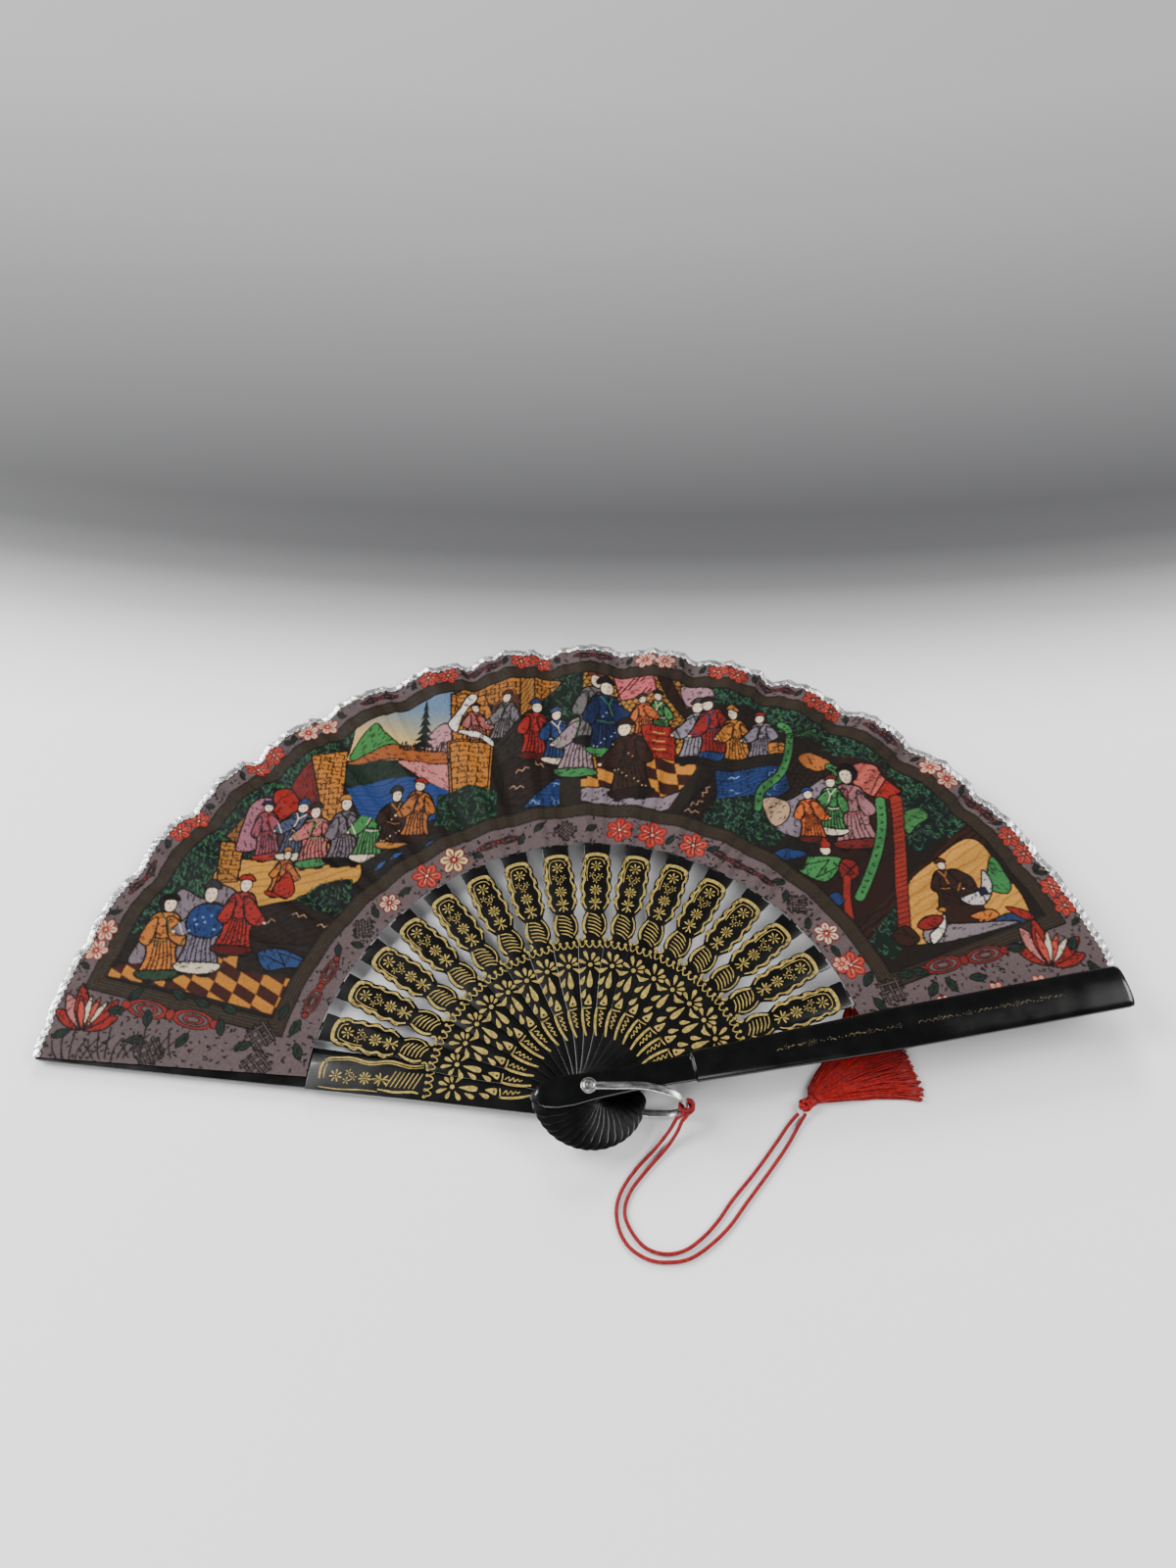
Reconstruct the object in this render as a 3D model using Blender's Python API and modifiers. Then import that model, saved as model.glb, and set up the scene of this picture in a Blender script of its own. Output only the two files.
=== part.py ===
"""Folding hand fan with lacquered sticks, a pleated leaf, a metal bail and a tassel on a doubled cord.

The rivet's axis is +Z and the fan lies open on the plane z = 0, with its leaf towards +Y.
Every stick lies flat in its own layer of the stack on the rivet, the back guard lowest.
"""

import math

import bmesh
import bpy
from mathutils import Matrix, Vector

MM = 0.001

# Opening: directions of the pieces about the rivet, in degrees from +X.
STICKS = 16
BACK_BLADE_ANGLE = 175.2
STICK_STEP = 9.62
BACK_GUARD_ANGLE = 174.4
FRONT_BLADE_ANGLE = BACK_BLADE_ANGLE - (STICKS + 1) * STICK_STEP
FRONT_GUARD_ANGLE = FRONT_BLADE_ANGLE

# Radii from the rivet.
HEAD_RADIUS = 20.2 * MM
LEAF_INNER = 100.0 * MM
LEAF_OUTER = 198.5 * MM
RIB_START = 95.0 * MM
RIB_END = 191.0 * MM
GUARD_SHOULDER = 37.0 * MM

# The stack on the rivet, from the surface that the fan lies on upwards.
RIVET_HEAD_THICKNESS = 0.6 * MM
BAIL_THICKNESS = 0.8 * MM
GUARD_HEAD_THICKNESS = 1.4 * MM
GUARD_BAR_THICKNESS = 3.1 * MM
BLADE_THICKNESS = 0.45 * MM
LAYER = 0.58 * MM
GAP = 0.13 * MM
RIB_LOW = 0.02 * MM
RIB_THICKNESS = 0.2 * MM
LEAF_LOW = 0.29 * MM
LEAF_THICKNESS = 0.14 * MM

# The leaf's panels, in degrees: the gap left at each side, and how far the end panels run past their blades.
PANEL_GAP = 0.08
FIRST_PANEL_REACH = 1.3
LAST_PANEL_REACH = 1.5

BAIL_LOW = RIVET_HEAD_THICKNESS + GAP
GUARD_TOP = GUARD_BAR_THICKNESS
FIRST_LAYER = GUARD_TOP + GAP
FRONT_GUARD_LOW = FIRST_LAYER + (STICKS + 1) * LAYER + BLADE_THICKNESS + GAP
BAIL_HIGH = FRONT_GUARD_LOW + GUARD_HEAD_THICKNESS + GAP
TOP_RIVET_HEAD = BAIL_HIGH + BAIL_THICKNESS + GAP
TOP_RIVET_THICKNESS = 0.8 * MM

# The rivet and the holes that turn on it.
PIN_RADIUS = 1.1 * MM
HOLE_RADIUS = 1.25 * MM
RIVET_HEAD_RADIUS = 2.2 * MM
RIVET_SEAT = 0.05 * MM
ROUND_SIDES = 16

# The bail, a flat strip bent into a loop from one rivet head to the other.
BAIL_ANGLE = -7.8
BAIL_REACH = 34.2 * MM
BAIL_WIDTH = 2.5 * MM
BAIL_SECTIONS = 34
EYE_RADIUS = 2.8 * MM
EYE_PROUD = 0.02 * MM

# Cord and tassel.
CORD_DIAMETER = 1.4 * MM
CORD_POINTS = 46
KNOT_RING_RADIUS = 2.3 * MM
KNOT_RING_THICKNESS = 0.65 * MM
KNOT_RING_SIDES = 12
KNOT_SECTION_SIDES = 8
TASSEL_HEIGHT = 4.6 * MM
TASSEL_EDGE = 1.2 * MM
TASSEL_KNOT_RADIUS = 2.3 * MM
TASSEL_KNOT_PLACE = (76.2 * MM, -1.4 * MM, 2.2 * MM)

# Route of each strand of the doubled cord, from the bail's knot to the tassel's, in millimetres.
STRAND_ROUTES = {
    "cord_strand_outer": [
        (30.4, -8.2, 6.6),
        (28.0, -11.6, 3.9),
        (23.5, -16.8, 1.5),
        (16.3, -24.4, 0.75),
        (11.4, -31.6, 0.75),
        (9.7, -38.1, 0.75),
        (11.0, -45.0, 0.75),
        (14.6, -50.2, 0.75),
        (20.8, -53.6, 0.75),
        (27.3, -54.2, 0.75),
        (33.9, -53.0, 0.75),
        (40.7, -48.8, 0.75),
        (47.6, -42.5, 0.75),
        (53.6, -34.9, 0.75),
        (61.5, -25.1, 0.75),
        (68.8, -15.5, 0.75),
        (73.6, -7.9, 0.9),
        (76.0, -4.4, 1.9),
    ],
    "cord_strand_inner": [
        (32.3, -9.0, 6.2),
        (30.6, -12.2, 3.7),
        (27.0, -16.9, 1.4),
        (20.0, -24.6, 0.75),
        (14.6, -31.6, 0.75),
        (12.5, -38.1, 0.75),
        (14.5, -44.2, 0.75),
        (19.2, -49.6, 0.75),
        (25.7, -51.6, 0.75),
        (32.3, -50.4, 0.75),
        (38.3, -46.4, 0.75),
        (43.7, -40.9, 0.75),
        (49.0, -33.9, 0.75),
        (57.3, -24.4, 0.75),
        (65.0, -14.6, 0.75),
        (69.8, -8.2, 0.9),
        (73.4, -4.4, 1.9),
    ],
}

BLACK_LACQUER = ((0.012, 0.012, 0.013), 0.22, 0.0)
PRINTED_CLOTH = ((0.30, 0.20, 0.17), 0.8, 0.0)
BRIGHT_METAL = ((0.62, 0.61, 0.59), 0.3, 1.0)
RED_SILK = ((0.42, 0.01, 0.012), 0.6, 0.0)
RED_CORD = ((0.26, 0.01, 0.02), 0.65, 0.0)


# Scene and collections


def clear_scene():
    for obj in list(bpy.data.objects):
        bpy.data.objects.remove(obj, do_unlink=True)


def new_collection(name):
    collection = bpy.data.collections.new(name)
    bpy.context.scene.collection.children.link(collection)
    return collection


def material(name, look):
    colour, roughness, metallic = look
    made = bpy.data.materials.new(name)
    made.use_nodes = True
    shader = made.node_tree.nodes["Principled BSDF"]
    shader.inputs["Base Color"].default_value = (*colour, 1)
    shader.inputs["Roughness"].default_value = roughness
    shader.inputs["Metallic"].default_value = metallic
    return made


def add(name, data, collection, look):
    obj = bpy.data.objects.new(name, data)
    collection.objects.link(obj)
    obj.data.materials.clear()
    obj.data.materials.append(look)
    return obj


def turned_about_rivet(obj, degrees, height=0.0):
    obj.rotation_euler.z = math.radians(degrees)
    obj.location.z = height
    return obj


# Shapes


def circle(radius, sides=ROUND_SIDES):
    return [
        (radius * math.cos(math.tau * i / sides), radius * math.sin(math.tau * i / sides))
        for i in range(sides)
    ]


def plate_curve(outlines, thickness):
    """A flat plate from closed outlines, the first one outside and the others holes, centred on z = 0."""
    curve = bpy.data.curves.new("plate", "CURVE")
    curve.dimensions = "2D"
    curve.fill_mode = "BOTH"
    curve.extrude = thickness / 2
    for outline in outlines:
        spline = curve.splines.new("POLY")
        spline.points.add(len(outline) - 1)
        for point, (x, y) in zip(spline.points, outline):
            point.co = (x, y, 0, 1)
        spline.use_cyclic_u = True
    return curve


def as_mesh(obj):
    """The object's evaluated shape as a welded mesh, and the object removed."""
    bpy.context.view_layer.update()
    graph = bpy.context.evaluated_depsgraph_get()
    mesh = bpy.data.meshes.new_from_object(obj.evaluated_get(graph))
    mesh.transform(obj.matrix_world)
    bpy.data.objects.remove(obj, do_unlink=True)
    shape = bmesh.new()
    shape.from_mesh(mesh)
    bmesh.ops.remove_doubles(shape, verts=shape.verts, dist=1e-7)
    bmesh.ops.recalc_face_normals(shape, faces=shape.faces)
    shape.to_mesh(mesh)
    shape.free()
    return mesh


def plate_mesh(outlines, low, high):
    obj = bpy.data.objects.new("plate", plate_curve(outlines, high - low))
    bpy.context.scene.collection.objects.link(obj)
    obj.location.z = (low + high) / 2
    return as_mesh(obj)


def block_mesh(low, high):
    """A box between two corners."""
    shape = bmesh.new()
    bmesh.ops.create_cube(shape, size=1)
    size = Vector(high) - Vector(low)
    bmesh.ops.scale(shape, vec=size, verts=shape.verts)
    bmesh.ops.translate(shape, vec=(Vector(low) + Vector(high)) / 2, verts=shape.verts)
    mesh = bpy.data.meshes.new("block")
    shape.to_mesh(mesh)
    shape.free()
    return mesh


def pin_mesh(radius, low, high):
    """An upright cylinder on the rivet's axis."""
    shape = bmesh.new()
    place = Matrix.Translation((0, 0, (low + high) / 2))
    bmesh.ops.create_cone(
        shape,
        cap_ends=True,
        segments=ROUND_SIDES,
        radius1=radius,
        radius2=radius,
        depth=high - low,
        matrix=place,
    )
    mesh = bpy.data.meshes.new("pin")
    shape.to_mesh(mesh)
    shape.free()
    return mesh


def loft_mesh(rings):
    """A closed solid through rings of equally many points, capped at both ends."""
    shape = bmesh.new()
    loops = [[shape.verts.new(point) for point in ring] for ring in rings]
    for one, two in zip(loops, loops[1:]):
        for i in range(len(one)):
            j = (i + 1) % len(one)
            shape.faces.new((one[i], one[j], two[j], two[i]))
    shape.faces.new(loops[0])
    shape.faces.new(loops[-1])
    bmesh.ops.recalc_face_normals(shape, faces=shape.faces)
    mesh = bpy.data.meshes.new("loft")
    shape.to_mesh(mesh)
    shape.free()
    return mesh


def combined(mesh, others, operation, cutters):
    """The mesh after a Boolean with each of the others, whose helper objects go in the cutters' collection."""
    body = bpy.data.objects.new("body", mesh)
    bpy.context.scene.collection.objects.link(body)
    for other in others:
        helper = bpy.data.objects.new("helper", other)
        cutters.objects.link(helper)
        helper.hide_render = True
        helper.display_type = "WIRE"
        step = body.modifiers.new("join", "BOOLEAN")
        step.operation = operation
        step.object = helper
    result = as_mesh(body)
    for helper in list(cutters.objects):
        bpy.data.objects.remove(helper, do_unlink=True)
    return result


def smooth(mesh):
    mesh.shade_smooth()
    mesh.set_sharp_from_angle(angle=math.radians(35))
    return mesh


def mirrored_outline(stations, tip):
    """A closed outline about the X axis, from a rounded tip at -X through (x, half width) stations."""
    upper = [(x * MM, width * MM) for x, width in stations]
    first_x, first_width = upper[0]
    for step in (0.75, 0.5, 0.25):
        turn = step * math.pi / 2
        x = first_x - (first_x + tip) * math.sin(turn)
        upper.insert(0, (x, first_width * math.cos(turn)))
    upper.sort(key=lambda point: point[0])
    lower = [(x, -width) for x, width in reversed(upper)]
    return [(-tip, 0.0), *upper, *lower]


# Half widths of an inner stick along its length: head, neck, body, oval, waist and scalloped blade.
STICK_STATIONS = [
    (-16.0, 4.6),
    (-11.0, 5.6),
    (-4.0, 5.3),
    (4.0, 3.9),
    (12.0, 2.9),
    (24.0, 2.8),
    (36.0, 4.2),
    (47.0, 5.3),
    (57.8, 5.8),
    (59.2, 3.6),
    (61.5, 4.5),
    (64.5, 4.9),
    (67.5, 4.4),
    (69.5, 3.8),
    (71.5, 4.6),
    (74.5, 5.9),
    (77.0, 5.5),
    (80.0, 6.3),
    (83.0, 5.8),
    (86.0, 6.1),
    (89.0, 5.4),
    (92.0, 5.6),
    (94.5, 4.9),
    (99.5, 5.2),
]
# The straight-edged blade glued inside the back guard, and the plain one inside the front guard.
BACK_BLADE_STATIONS = [(-15.0, 4.4), (-9.0, 6.2), (0.0, 7.4), (16.0, 7.8), (57.0, 7.0), (99.5, 6.6)]
FRONT_BLADE_STATIONS = [(-15.0, 3.6), (-9.0, 4.6), (0.0, 4.3), (20.0, 4.0), (57.0, 4.9), (99.5, 5.2)]
RIB_HALF_WIDTH = 1.5 * MM

# Share of a guard's thickness that its edge has, and the arcs of its dome, an odd number for a flat crown.
GUARD_EDGE_SHARE = 0.35
DOME_ARCS = 7
GUARD_TIP_THINS = -17.0

# Half widths of a guard: a thin head and neck, then a shoulder and a domed bar.
GUARD_WIDTHS = [
    (-18.6, 1.2),
    (-17.8, 2.9),
    (-16.0, 4.3),
    (-12.0, 5.4),
    (-6.0, 5.6),
    (2.0, 4.9),
    (14.0, 4.5),
    (30.0, 4.7),
    (36.8, 4.9),
    (37.2, 5.6),
    (60.0, 6.3),
    (111.0, 7.7),
    (160.0, 8.0),
    (196.0, 8.1),
    (197.5, 7.7),
]


def blade_mesh(stations, cutters):
    """One stick in its own layer: the blade, its hole, and the thin rib that carries the leaf."""
    blade = plate_mesh([mirrored_outline(stations, HEAD_RADIUS), circle(HOLE_RADIUS)], 0, BLADE_THICKNESS)
    rib = block_mesh(
        (RIB_START, -RIB_HALF_WIDTH, RIB_LOW),
        (RIB_END, RIB_HALF_WIDTH, RIB_LOW + RIB_THICKNESS),
    )
    return combined(blade, [rib], "UNION", cutters)


def guard_mesh(side, cutters):
    """A guard with its flat side at z = 0 and its dome towards side, +1 up or -1 down."""
    rings = []
    crown = math.sin(math.pi * (DOME_ARCS // 2) / DOME_ARCS)
    for x, half_width in GUARD_WIDTHS:
        thickness = GUARD_HEAD_THICKNESS if x * MM < GUARD_SHOULDER else GUARD_BAR_THICKNESS
        if x < GUARD_TIP_THINS:
            thickness *= 0.8
        edge = GUARD_EDGE_SHARE * thickness
        ring = [(x * MM, half_width * MM, 0.0)]
        for i in range(DOME_ARCS + 1):
            turn = math.pi * i / DOME_ARCS
            across = half_width * MM * math.cos(turn)
            rise = min(1.0, math.sin(turn) / crown)
            ring.append((x * MM, across, side * (edge + (thickness - edge) * rise)))
        ring.append((x * MM, -half_width * MM, 0.0))
        rings.append(ring)
    hole = pin_mesh(HOLE_RADIUS, -2 * GUARD_BAR_THICKNESS, 2 * GUARD_BAR_THICKNESS)
    return combined(loft_mesh(rings), [hole], "DIFFERENCE", cutters)


# Sub-parts


def make_guards(parts, cutters):
    back = add("back_guard", smooth(guard_mesh(-1, cutters)), parts, material("back_guard", BLACK_LACQUER))
    turned_about_rivet(back, BACK_GUARD_ANGLE, GUARD_TOP)
    front = add("front_guard", smooth(guard_mesh(1, cutters)), parts, material("front_guard", BLACK_LACQUER))
    turned_about_rivet(front, FRONT_GUARD_ANGLE, FRONT_GUARD_LOW)


def layer_height(index):
    return FIRST_LAYER + index * LAYER


def blade_angle(index):
    return BACK_BLADE_ANGLE - index * STICK_STEP


def make_sticks(parts, cutters):
    lacquer = material("stick", BLACK_LACQUER)
    back = add("back_guard_blade", blade_mesh(BACK_BLADE_STATIONS, cutters), parts, lacquer)
    turned_about_rivet(back, BACK_BLADE_ANGLE, FIRST_LAYER)
    shared = blade_mesh(STICK_STATIONS, cutters)
    for index in range(1, STICKS + 1):
        stick = add(f"stick_{index:02d}", shared, parts, lacquer)
        turned_about_rivet(stick, blade_angle(index), layer_height(index))
    front = add("front_guard_blade", blade_mesh(FRONT_BLADE_STATIONS, cutters), parts, lacquer)
    turned_about_rivet(front, FRONT_BLADE_ANGLE, layer_height(STICKS + 1))


def sector_outline(first, last, inner, outer, steps=4):
    """The outline of a ring's sector between two directions in degrees."""
    directions = [math.radians(first + (last - first) * i / steps) for i in range(steps + 1)]
    rim = [(outer * math.cos(turn), outer * math.sin(turn)) for turn in directions]
    bore = [(inner * math.cos(turn), inner * math.sin(turn)) for turn in reversed(directions)]
    return rim + bore


def make_leaf(parts):
    """One flat panel of the leaf on each stick, which together close the open fan's ring."""
    cloth = material("leaf", PRINTED_CLOTH)
    half = STICK_STEP / 2 - PANEL_GAP
    for index in range(STICKS + 2):
        before = LAST_PANEL_REACH if index == STICKS + 1 else half
        after = FIRST_PANEL_REACH if index == 0 else half
        outline = sector_outline(-before, after, LEAF_INNER, LEAF_OUTER)
        panel = add(
            f"leaf_panel_{index:02d}",
            plate_mesh([outline], LEAF_LOW, LEAF_LOW + LEAF_THICKNESS),
            parts,
            cloth,
        )
        turned_about_rivet(panel, blade_angle(index), layer_height(index))


def make_rivet(parts):
    """The pin through the stack, and the cap pressed on each of its ends."""
    steel = material("rivet", BRIGHT_METAL)
    pin = pin_mesh(PIN_RADIUS, RIVET_HEAD_THICKNESS + RIVET_SEAT, TOP_RIVET_HEAD - RIVET_SEAT)
    add("rivet_pin", smooth(pin), parts, steel)
    lower = pin_mesh(RIVET_HEAD_RADIUS, 0, RIVET_HEAD_THICKNESS)
    add("rivet_cap_lower", smooth(lower), parts, steel)
    profile = [
        (0.0, TOP_RIVET_THICKNESS),
        (RIVET_HEAD_RADIUS * 0.55, TOP_RIVET_THICKNESS * 0.9),
        (RIVET_HEAD_RADIUS * 0.9, TOP_RIVET_THICKNESS * 0.55),
        (RIVET_HEAD_RADIUS, 0.0),
        (0.0, 0.0),
    ]
    mesh = bpy.data.meshes.new("rivet_cap_upper")
    points = [(x, 0, z) for x, z in profile]
    mesh.from_pydata(points, [(i, i + 1) for i in range(len(points) - 1)], [])
    upper = add("rivet_cap_upper", mesh, parts, steel)
    upper.location.z = TOP_RIVET_HEAD
    turn = upper.modifiers.new("turn", "SCREW")
    turn.angle = math.tau
    turn.steps = turn.render_steps = ROUND_SIDES
    turn.use_merge_vertices = True
    turn.merge_threshold = 0.01 * MM


def catmull_rom(points, count):
    """Evenly spaced points along a smooth curve through the given ones."""
    given = [Vector(point) for point in points]
    given = [2 * given[0] - given[1], *given, 2 * given[-1] - given[-2]]
    fine = []
    for a, b, c, d in zip(given, given[1:], given[2:], given[3:]):
        for i in range(24):
            t = i / 24
            fine.append(
                0.5
                * (
                    2 * b
                    + (c - a) * t
                    + (2 * a - 5 * b + 4 * c - d) * t * t
                    + (3 * b - a - 3 * c + d) * t**3
                )
            )
    fine.append(given[-2])
    lengths = [0.0]
    for one, two in zip(fine, fine[1:]):
        lengths.append(lengths[-1] + (two - one).length)
    spaced = []
    place = 0
    for i in range(count):
        target = lengths[-1] * i / (count - 1)
        while place < len(lengths) - 2 and lengths[place + 1] < target:
            place += 1
        share = (target - lengths[place]) / (lengths[place + 1] - lengths[place])
        spaced.append(fine[place].lerp(fine[place + 1], min(1.0, share)))
    return spaced


def make_bail(parts, cutters):
    """The strip from the lower eye round the loop's bend to the upper eye, and both eyes."""
    middle = BAIL_THICKNESS / 2
    low = BAIL_LOW + middle
    high = BAIL_HIGH + middle
    reach = BAIL_REACH / MM
    rise = (high - low) / MM
    base = low / MM
    route = [
        (0.0, 0.0, base),
        (0.28 * reach, -1.2, base),
        (0.58 * reach, -1.9, base),
        (0.82 * reach, -1.2, base + 0.04 * rise),
        (0.94 * reach, -0.6, base + 0.2 * rise),
        (reach, 0.0, base + 0.5 * rise),
        (0.95 * reach, 0.8, base + 0.8 * rise),
        (0.82 * reach, 1.9, base + 0.965 * rise),
        (0.55 * reach, 2.6, base + rise),
        (0.25 * reach, 1.2, base + rise),
        (0.0, 0.0, base + rise),
    ]
    path = catmull_rom([Vector(point) * MM for point in route], BAIL_SECTIONS)
    rings = []
    across = Vector((0, 1, 0))
    for i, point in enumerate(path):
        along = path[min(i + 1, len(path) - 1)] - path[max(i - 1, 0)]
        along.y = 0
        normal = along.normalized().cross(across)
        half_width = across * BAIL_WIDTH / 2
        half_thick = normal * BAIL_THICKNESS / 2
        rings.append(
            [
                point + half_width * 0.7 + half_thick,
                point + half_width + half_thick * 0.3,
                point + half_width - half_thick * 0.3,
                point + half_width * 0.7 - half_thick,
                point - half_width * 0.7 - half_thick,
                point - half_width - half_thick * 0.3,
                point - half_width + half_thick * 0.3,
                point - half_width * 0.7 + half_thick,
            ]
        )
    eyes = [
        pin_mesh(EYE_RADIUS, side - EYE_PROUD, side + BAIL_THICKNESS + EYE_PROUD)
        for side in (BAIL_LOW, BAIL_HIGH)
    ]
    mesh = combined(loft_mesh(rings), eyes, "UNION", cutters)
    hole = pin_mesh(HOLE_RADIUS, -MM, TOP_RIVET_HEAD + 2 * MM)
    mesh = combined(mesh, [hole], "DIFFERENCE", cutters)
    bail = add("bail", smooth(mesh), parts, material("bail", BRIGHT_METAL))
    turned_about_rivet(bail, BAIL_ANGLE)


def loop_hinge():
    """The middle of the bail's bend, where the cord's knot turns on it."""
    turn = math.radians(BAIL_ANGLE)
    height = (BAIL_LOW + BAIL_HIGH + BAIL_THICKNESS) / 2
    return Vector((BAIL_REACH * math.cos(turn), BAIL_REACH * math.sin(turn), height))


def make_cord(parts):
    """The knot round the bail and the two strands that run from it to the tassel."""
    look = material("cord", RED_CORD)
    bpy.ops.mesh.primitive_torus_add(
        major_radius=KNOT_RING_RADIUS,
        minor_radius=KNOT_RING_THICKNESS,
        major_segments=KNOT_RING_SIDES,
        minor_segments=KNOT_SECTION_SIDES,
        location=loop_hinge(),
    )
    ring = bpy.context.object
    knot = add("cord_knot", as_mesh(ring), parts, look)
    smooth(knot.data)
    for name, route in STRAND_ROUTES.items():
        curve = bpy.data.curves.new(name, "CURVE")
        curve.dimensions = "3D"
        curve.bevel_depth = CORD_DIAMETER / 2
        curve.bevel_resolution = 2
        curve.use_fill_caps = True
        spline = curve.splines.new("POLY")
        points = catmull_rom([Vector(point) * MM for point in route], CORD_POINTS)
        spline.points.add(len(points) - 1)
        for target, point in zip(spline.points, points):
            target.co = (*point, 1)
        add(name, curve, parts, look)


# The spread tassel's outline on the surface, in millimetres, round from the knot.
TASSEL_OUTLINE = [
    (78.6, 1.2),
    (87.2, -1.0),
    (98.0, 1.2),
    (108.5, 2.4),
    (118.4, 2.9),
    (118.6, 11.0),
    (114.8, 20.0),
    (108.5, 29.0),
    (99.4, 35.6),
    (89.0, 34.0),
    (82.0, 24.0),
    (76.8, 12.2),
    (76.4, 4.6),
]


def make_tassel(parts):
    """The knot that ties the two strands, and the fringe pressed flat under the front guard."""
    silk = material("tassel", RED_SILK)
    outline = [(x * MM, y * MM) for x, y in TASSEL_OUTLINE]
    fringe = add("tassel_fringe", plate_mesh([outline], 0, TASSEL_HEIGHT), parts, silk)
    edge = fringe.modifiers.new("edge", "BEVEL")
    edge.width = TASSEL_EDGE
    edge.segments = 1
    edge.limit_method = "ANGLE"
    shape = bmesh.new()
    bmesh.ops.create_uvsphere(shape, u_segments=12, v_segments=8, radius=TASSEL_KNOT_RADIUS)
    bmesh.ops.scale(shape, vec=(1.15, 1.0, 0.9), verts=shape.verts)
    mesh = bpy.data.meshes.new("tassel_knot")
    shape.to_mesh(mesh)
    shape.free()
    knot = add("tassel_knot", smooth(mesh), parts, silk)
    knot.location = TASSEL_KNOT_PLACE


def main():
    clear_scene()
    parts = new_collection("folding_fan")
    cutters = new_collection("cutters")
    make_guards(parts, cutters)
    make_sticks(parts, cutters)
    make_leaf(parts)
    make_rivet(parts)
    make_bail(parts, cutters)
    make_cord(parts)
    make_tassel(parts)


main()
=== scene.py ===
"""Looks of an open folding hand fan: painted leaf, printed sticks, guards, bail, cord and tassel.

The rivet's axis is +Z through the origin and the leaf lies towards +Y. Shapes are in metres, and
what is drawn on the leaf and on the sticks is in millimetres.
"""

import math
import random

import bmesh
import bpy
import numpy as np
from mathutils import Matrix, Vector


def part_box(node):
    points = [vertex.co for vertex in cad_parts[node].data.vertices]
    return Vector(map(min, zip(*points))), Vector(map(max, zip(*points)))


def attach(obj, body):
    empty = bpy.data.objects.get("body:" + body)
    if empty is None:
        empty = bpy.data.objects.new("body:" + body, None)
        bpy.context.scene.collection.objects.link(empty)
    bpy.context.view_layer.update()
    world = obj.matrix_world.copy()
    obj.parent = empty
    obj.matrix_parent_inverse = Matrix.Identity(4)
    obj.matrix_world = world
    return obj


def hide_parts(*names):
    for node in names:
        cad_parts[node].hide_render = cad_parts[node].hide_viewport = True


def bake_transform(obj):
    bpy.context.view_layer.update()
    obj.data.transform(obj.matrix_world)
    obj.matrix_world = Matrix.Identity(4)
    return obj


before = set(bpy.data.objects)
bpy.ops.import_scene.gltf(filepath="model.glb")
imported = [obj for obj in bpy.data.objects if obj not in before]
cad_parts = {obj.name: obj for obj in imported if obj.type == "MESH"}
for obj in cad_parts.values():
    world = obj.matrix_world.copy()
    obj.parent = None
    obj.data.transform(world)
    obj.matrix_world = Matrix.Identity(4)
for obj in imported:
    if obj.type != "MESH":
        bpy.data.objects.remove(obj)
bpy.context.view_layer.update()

MM = 0.001

# The open fan's layout, as the CAD part has it.
STICKS = sum(name.startswith("stick_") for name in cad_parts)
LAST = STICKS + 1
BACK_ANGLE = 175.2
STEP = 9.62
BACK_GUARD_ANGLE = 174.4
BLADE_NODES = ["back_guard_blade", *[f"stick_{k:02d}" for k in range(1, LAST)], "front_guard_blade"]
BODIES = ["back_side", *[f"blade_{k:02d}" for k in range(1, LAST)], "front_side"]
BLADE_LOW = [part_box(name)[0].z for name in BLADE_NODES]
BLADE_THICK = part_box("back_guard_blade")[1].z - BLADE_LOW[0]
LAYER = BLADE_LOW[1] - BLADE_LOW[0]
LEAF_RISE = 0.36 * MM
LEAF_INNER = 100.0
LEAF_OUTER = 198.0

INK = (34, 24, 20)
MAUVE = (128, 111, 112)
FRAME_BROWN = (92, 78, 60)
EARTH = (58, 44, 34)
OCHRE = (196, 138, 48)
GOLD_GROUND = (206, 158, 62)
RED = (178, 52, 40)
PINK = (196, 128, 124)
BLUE = (46, 82, 138)
GREEN = (82, 152, 92)
DARK_GREEN = (32, 54, 44)
LEAF_GREEN = (52, 82, 70)
CREAM = (214, 200, 176)


def blade_angle(k):
    return BACK_ANGLE - STEP * k


# Curves and meshes


def smooth_line(points, count, closed=False):
    """Evenly numbered points on a Catmull-Rom curve through the given ones."""
    given = np.array(points, float)
    if closed:
        given = np.vstack([given[-1], given, given[:2]])
    else:
        given = np.vstack([2 * given[0] - given[1], given, 2 * given[-1] - given[-2]])
    spans = len(given) - 3
    places = np.linspace(0, spans, count, endpoint=not closed)
    index = np.minimum(places.astype(int), spans - 1)
    t = (places - index)[:, None]
    a, b, c, d = (given[index + i] for i in range(4))
    return 0.5 * (2 * b + (c - a) * t + (2 * a - 5 * b + 4 * c - d) * t**2 + (3 * b - a - 3 * c + d) * t**3)


def evenly(points, count):
    """The line through the points, cut into equal lengths."""
    steps = np.linalg.norm(np.diff(points, axis=0), axis=1)
    travelled = np.concatenate([[0], np.cumsum(steps)])
    wanted = np.linspace(0, travelled[-1], count)
    return np.stack([np.interp(wanted, travelled, points[:, i]) for i in range(points.shape[1])], 1)


ROUND_SIDES = 48


def circle(x, y, radius, count=10):
    turns = np.linspace(0, math.tau, count, endpoint=False)
    return [(x + radius * math.cos(a), y + radius * math.sin(a)) for a in turns]


def linked(name, data):
    obj = bpy.data.objects.new(name, data)
    bpy.context.scene.collection.objects.link(obj)
    return obj


def mesh_object(name, vertices, faces, material=None):
    mesh = bpy.data.meshes.new(name)
    mesh.from_pydata([tuple(map(float, v)) for v in vertices], [], [tuple(map(int, f)) for f in faces])
    mesh.shade_smooth()
    if material:
        mesh.materials.append(material)
    return linked(name, mesh)


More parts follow.
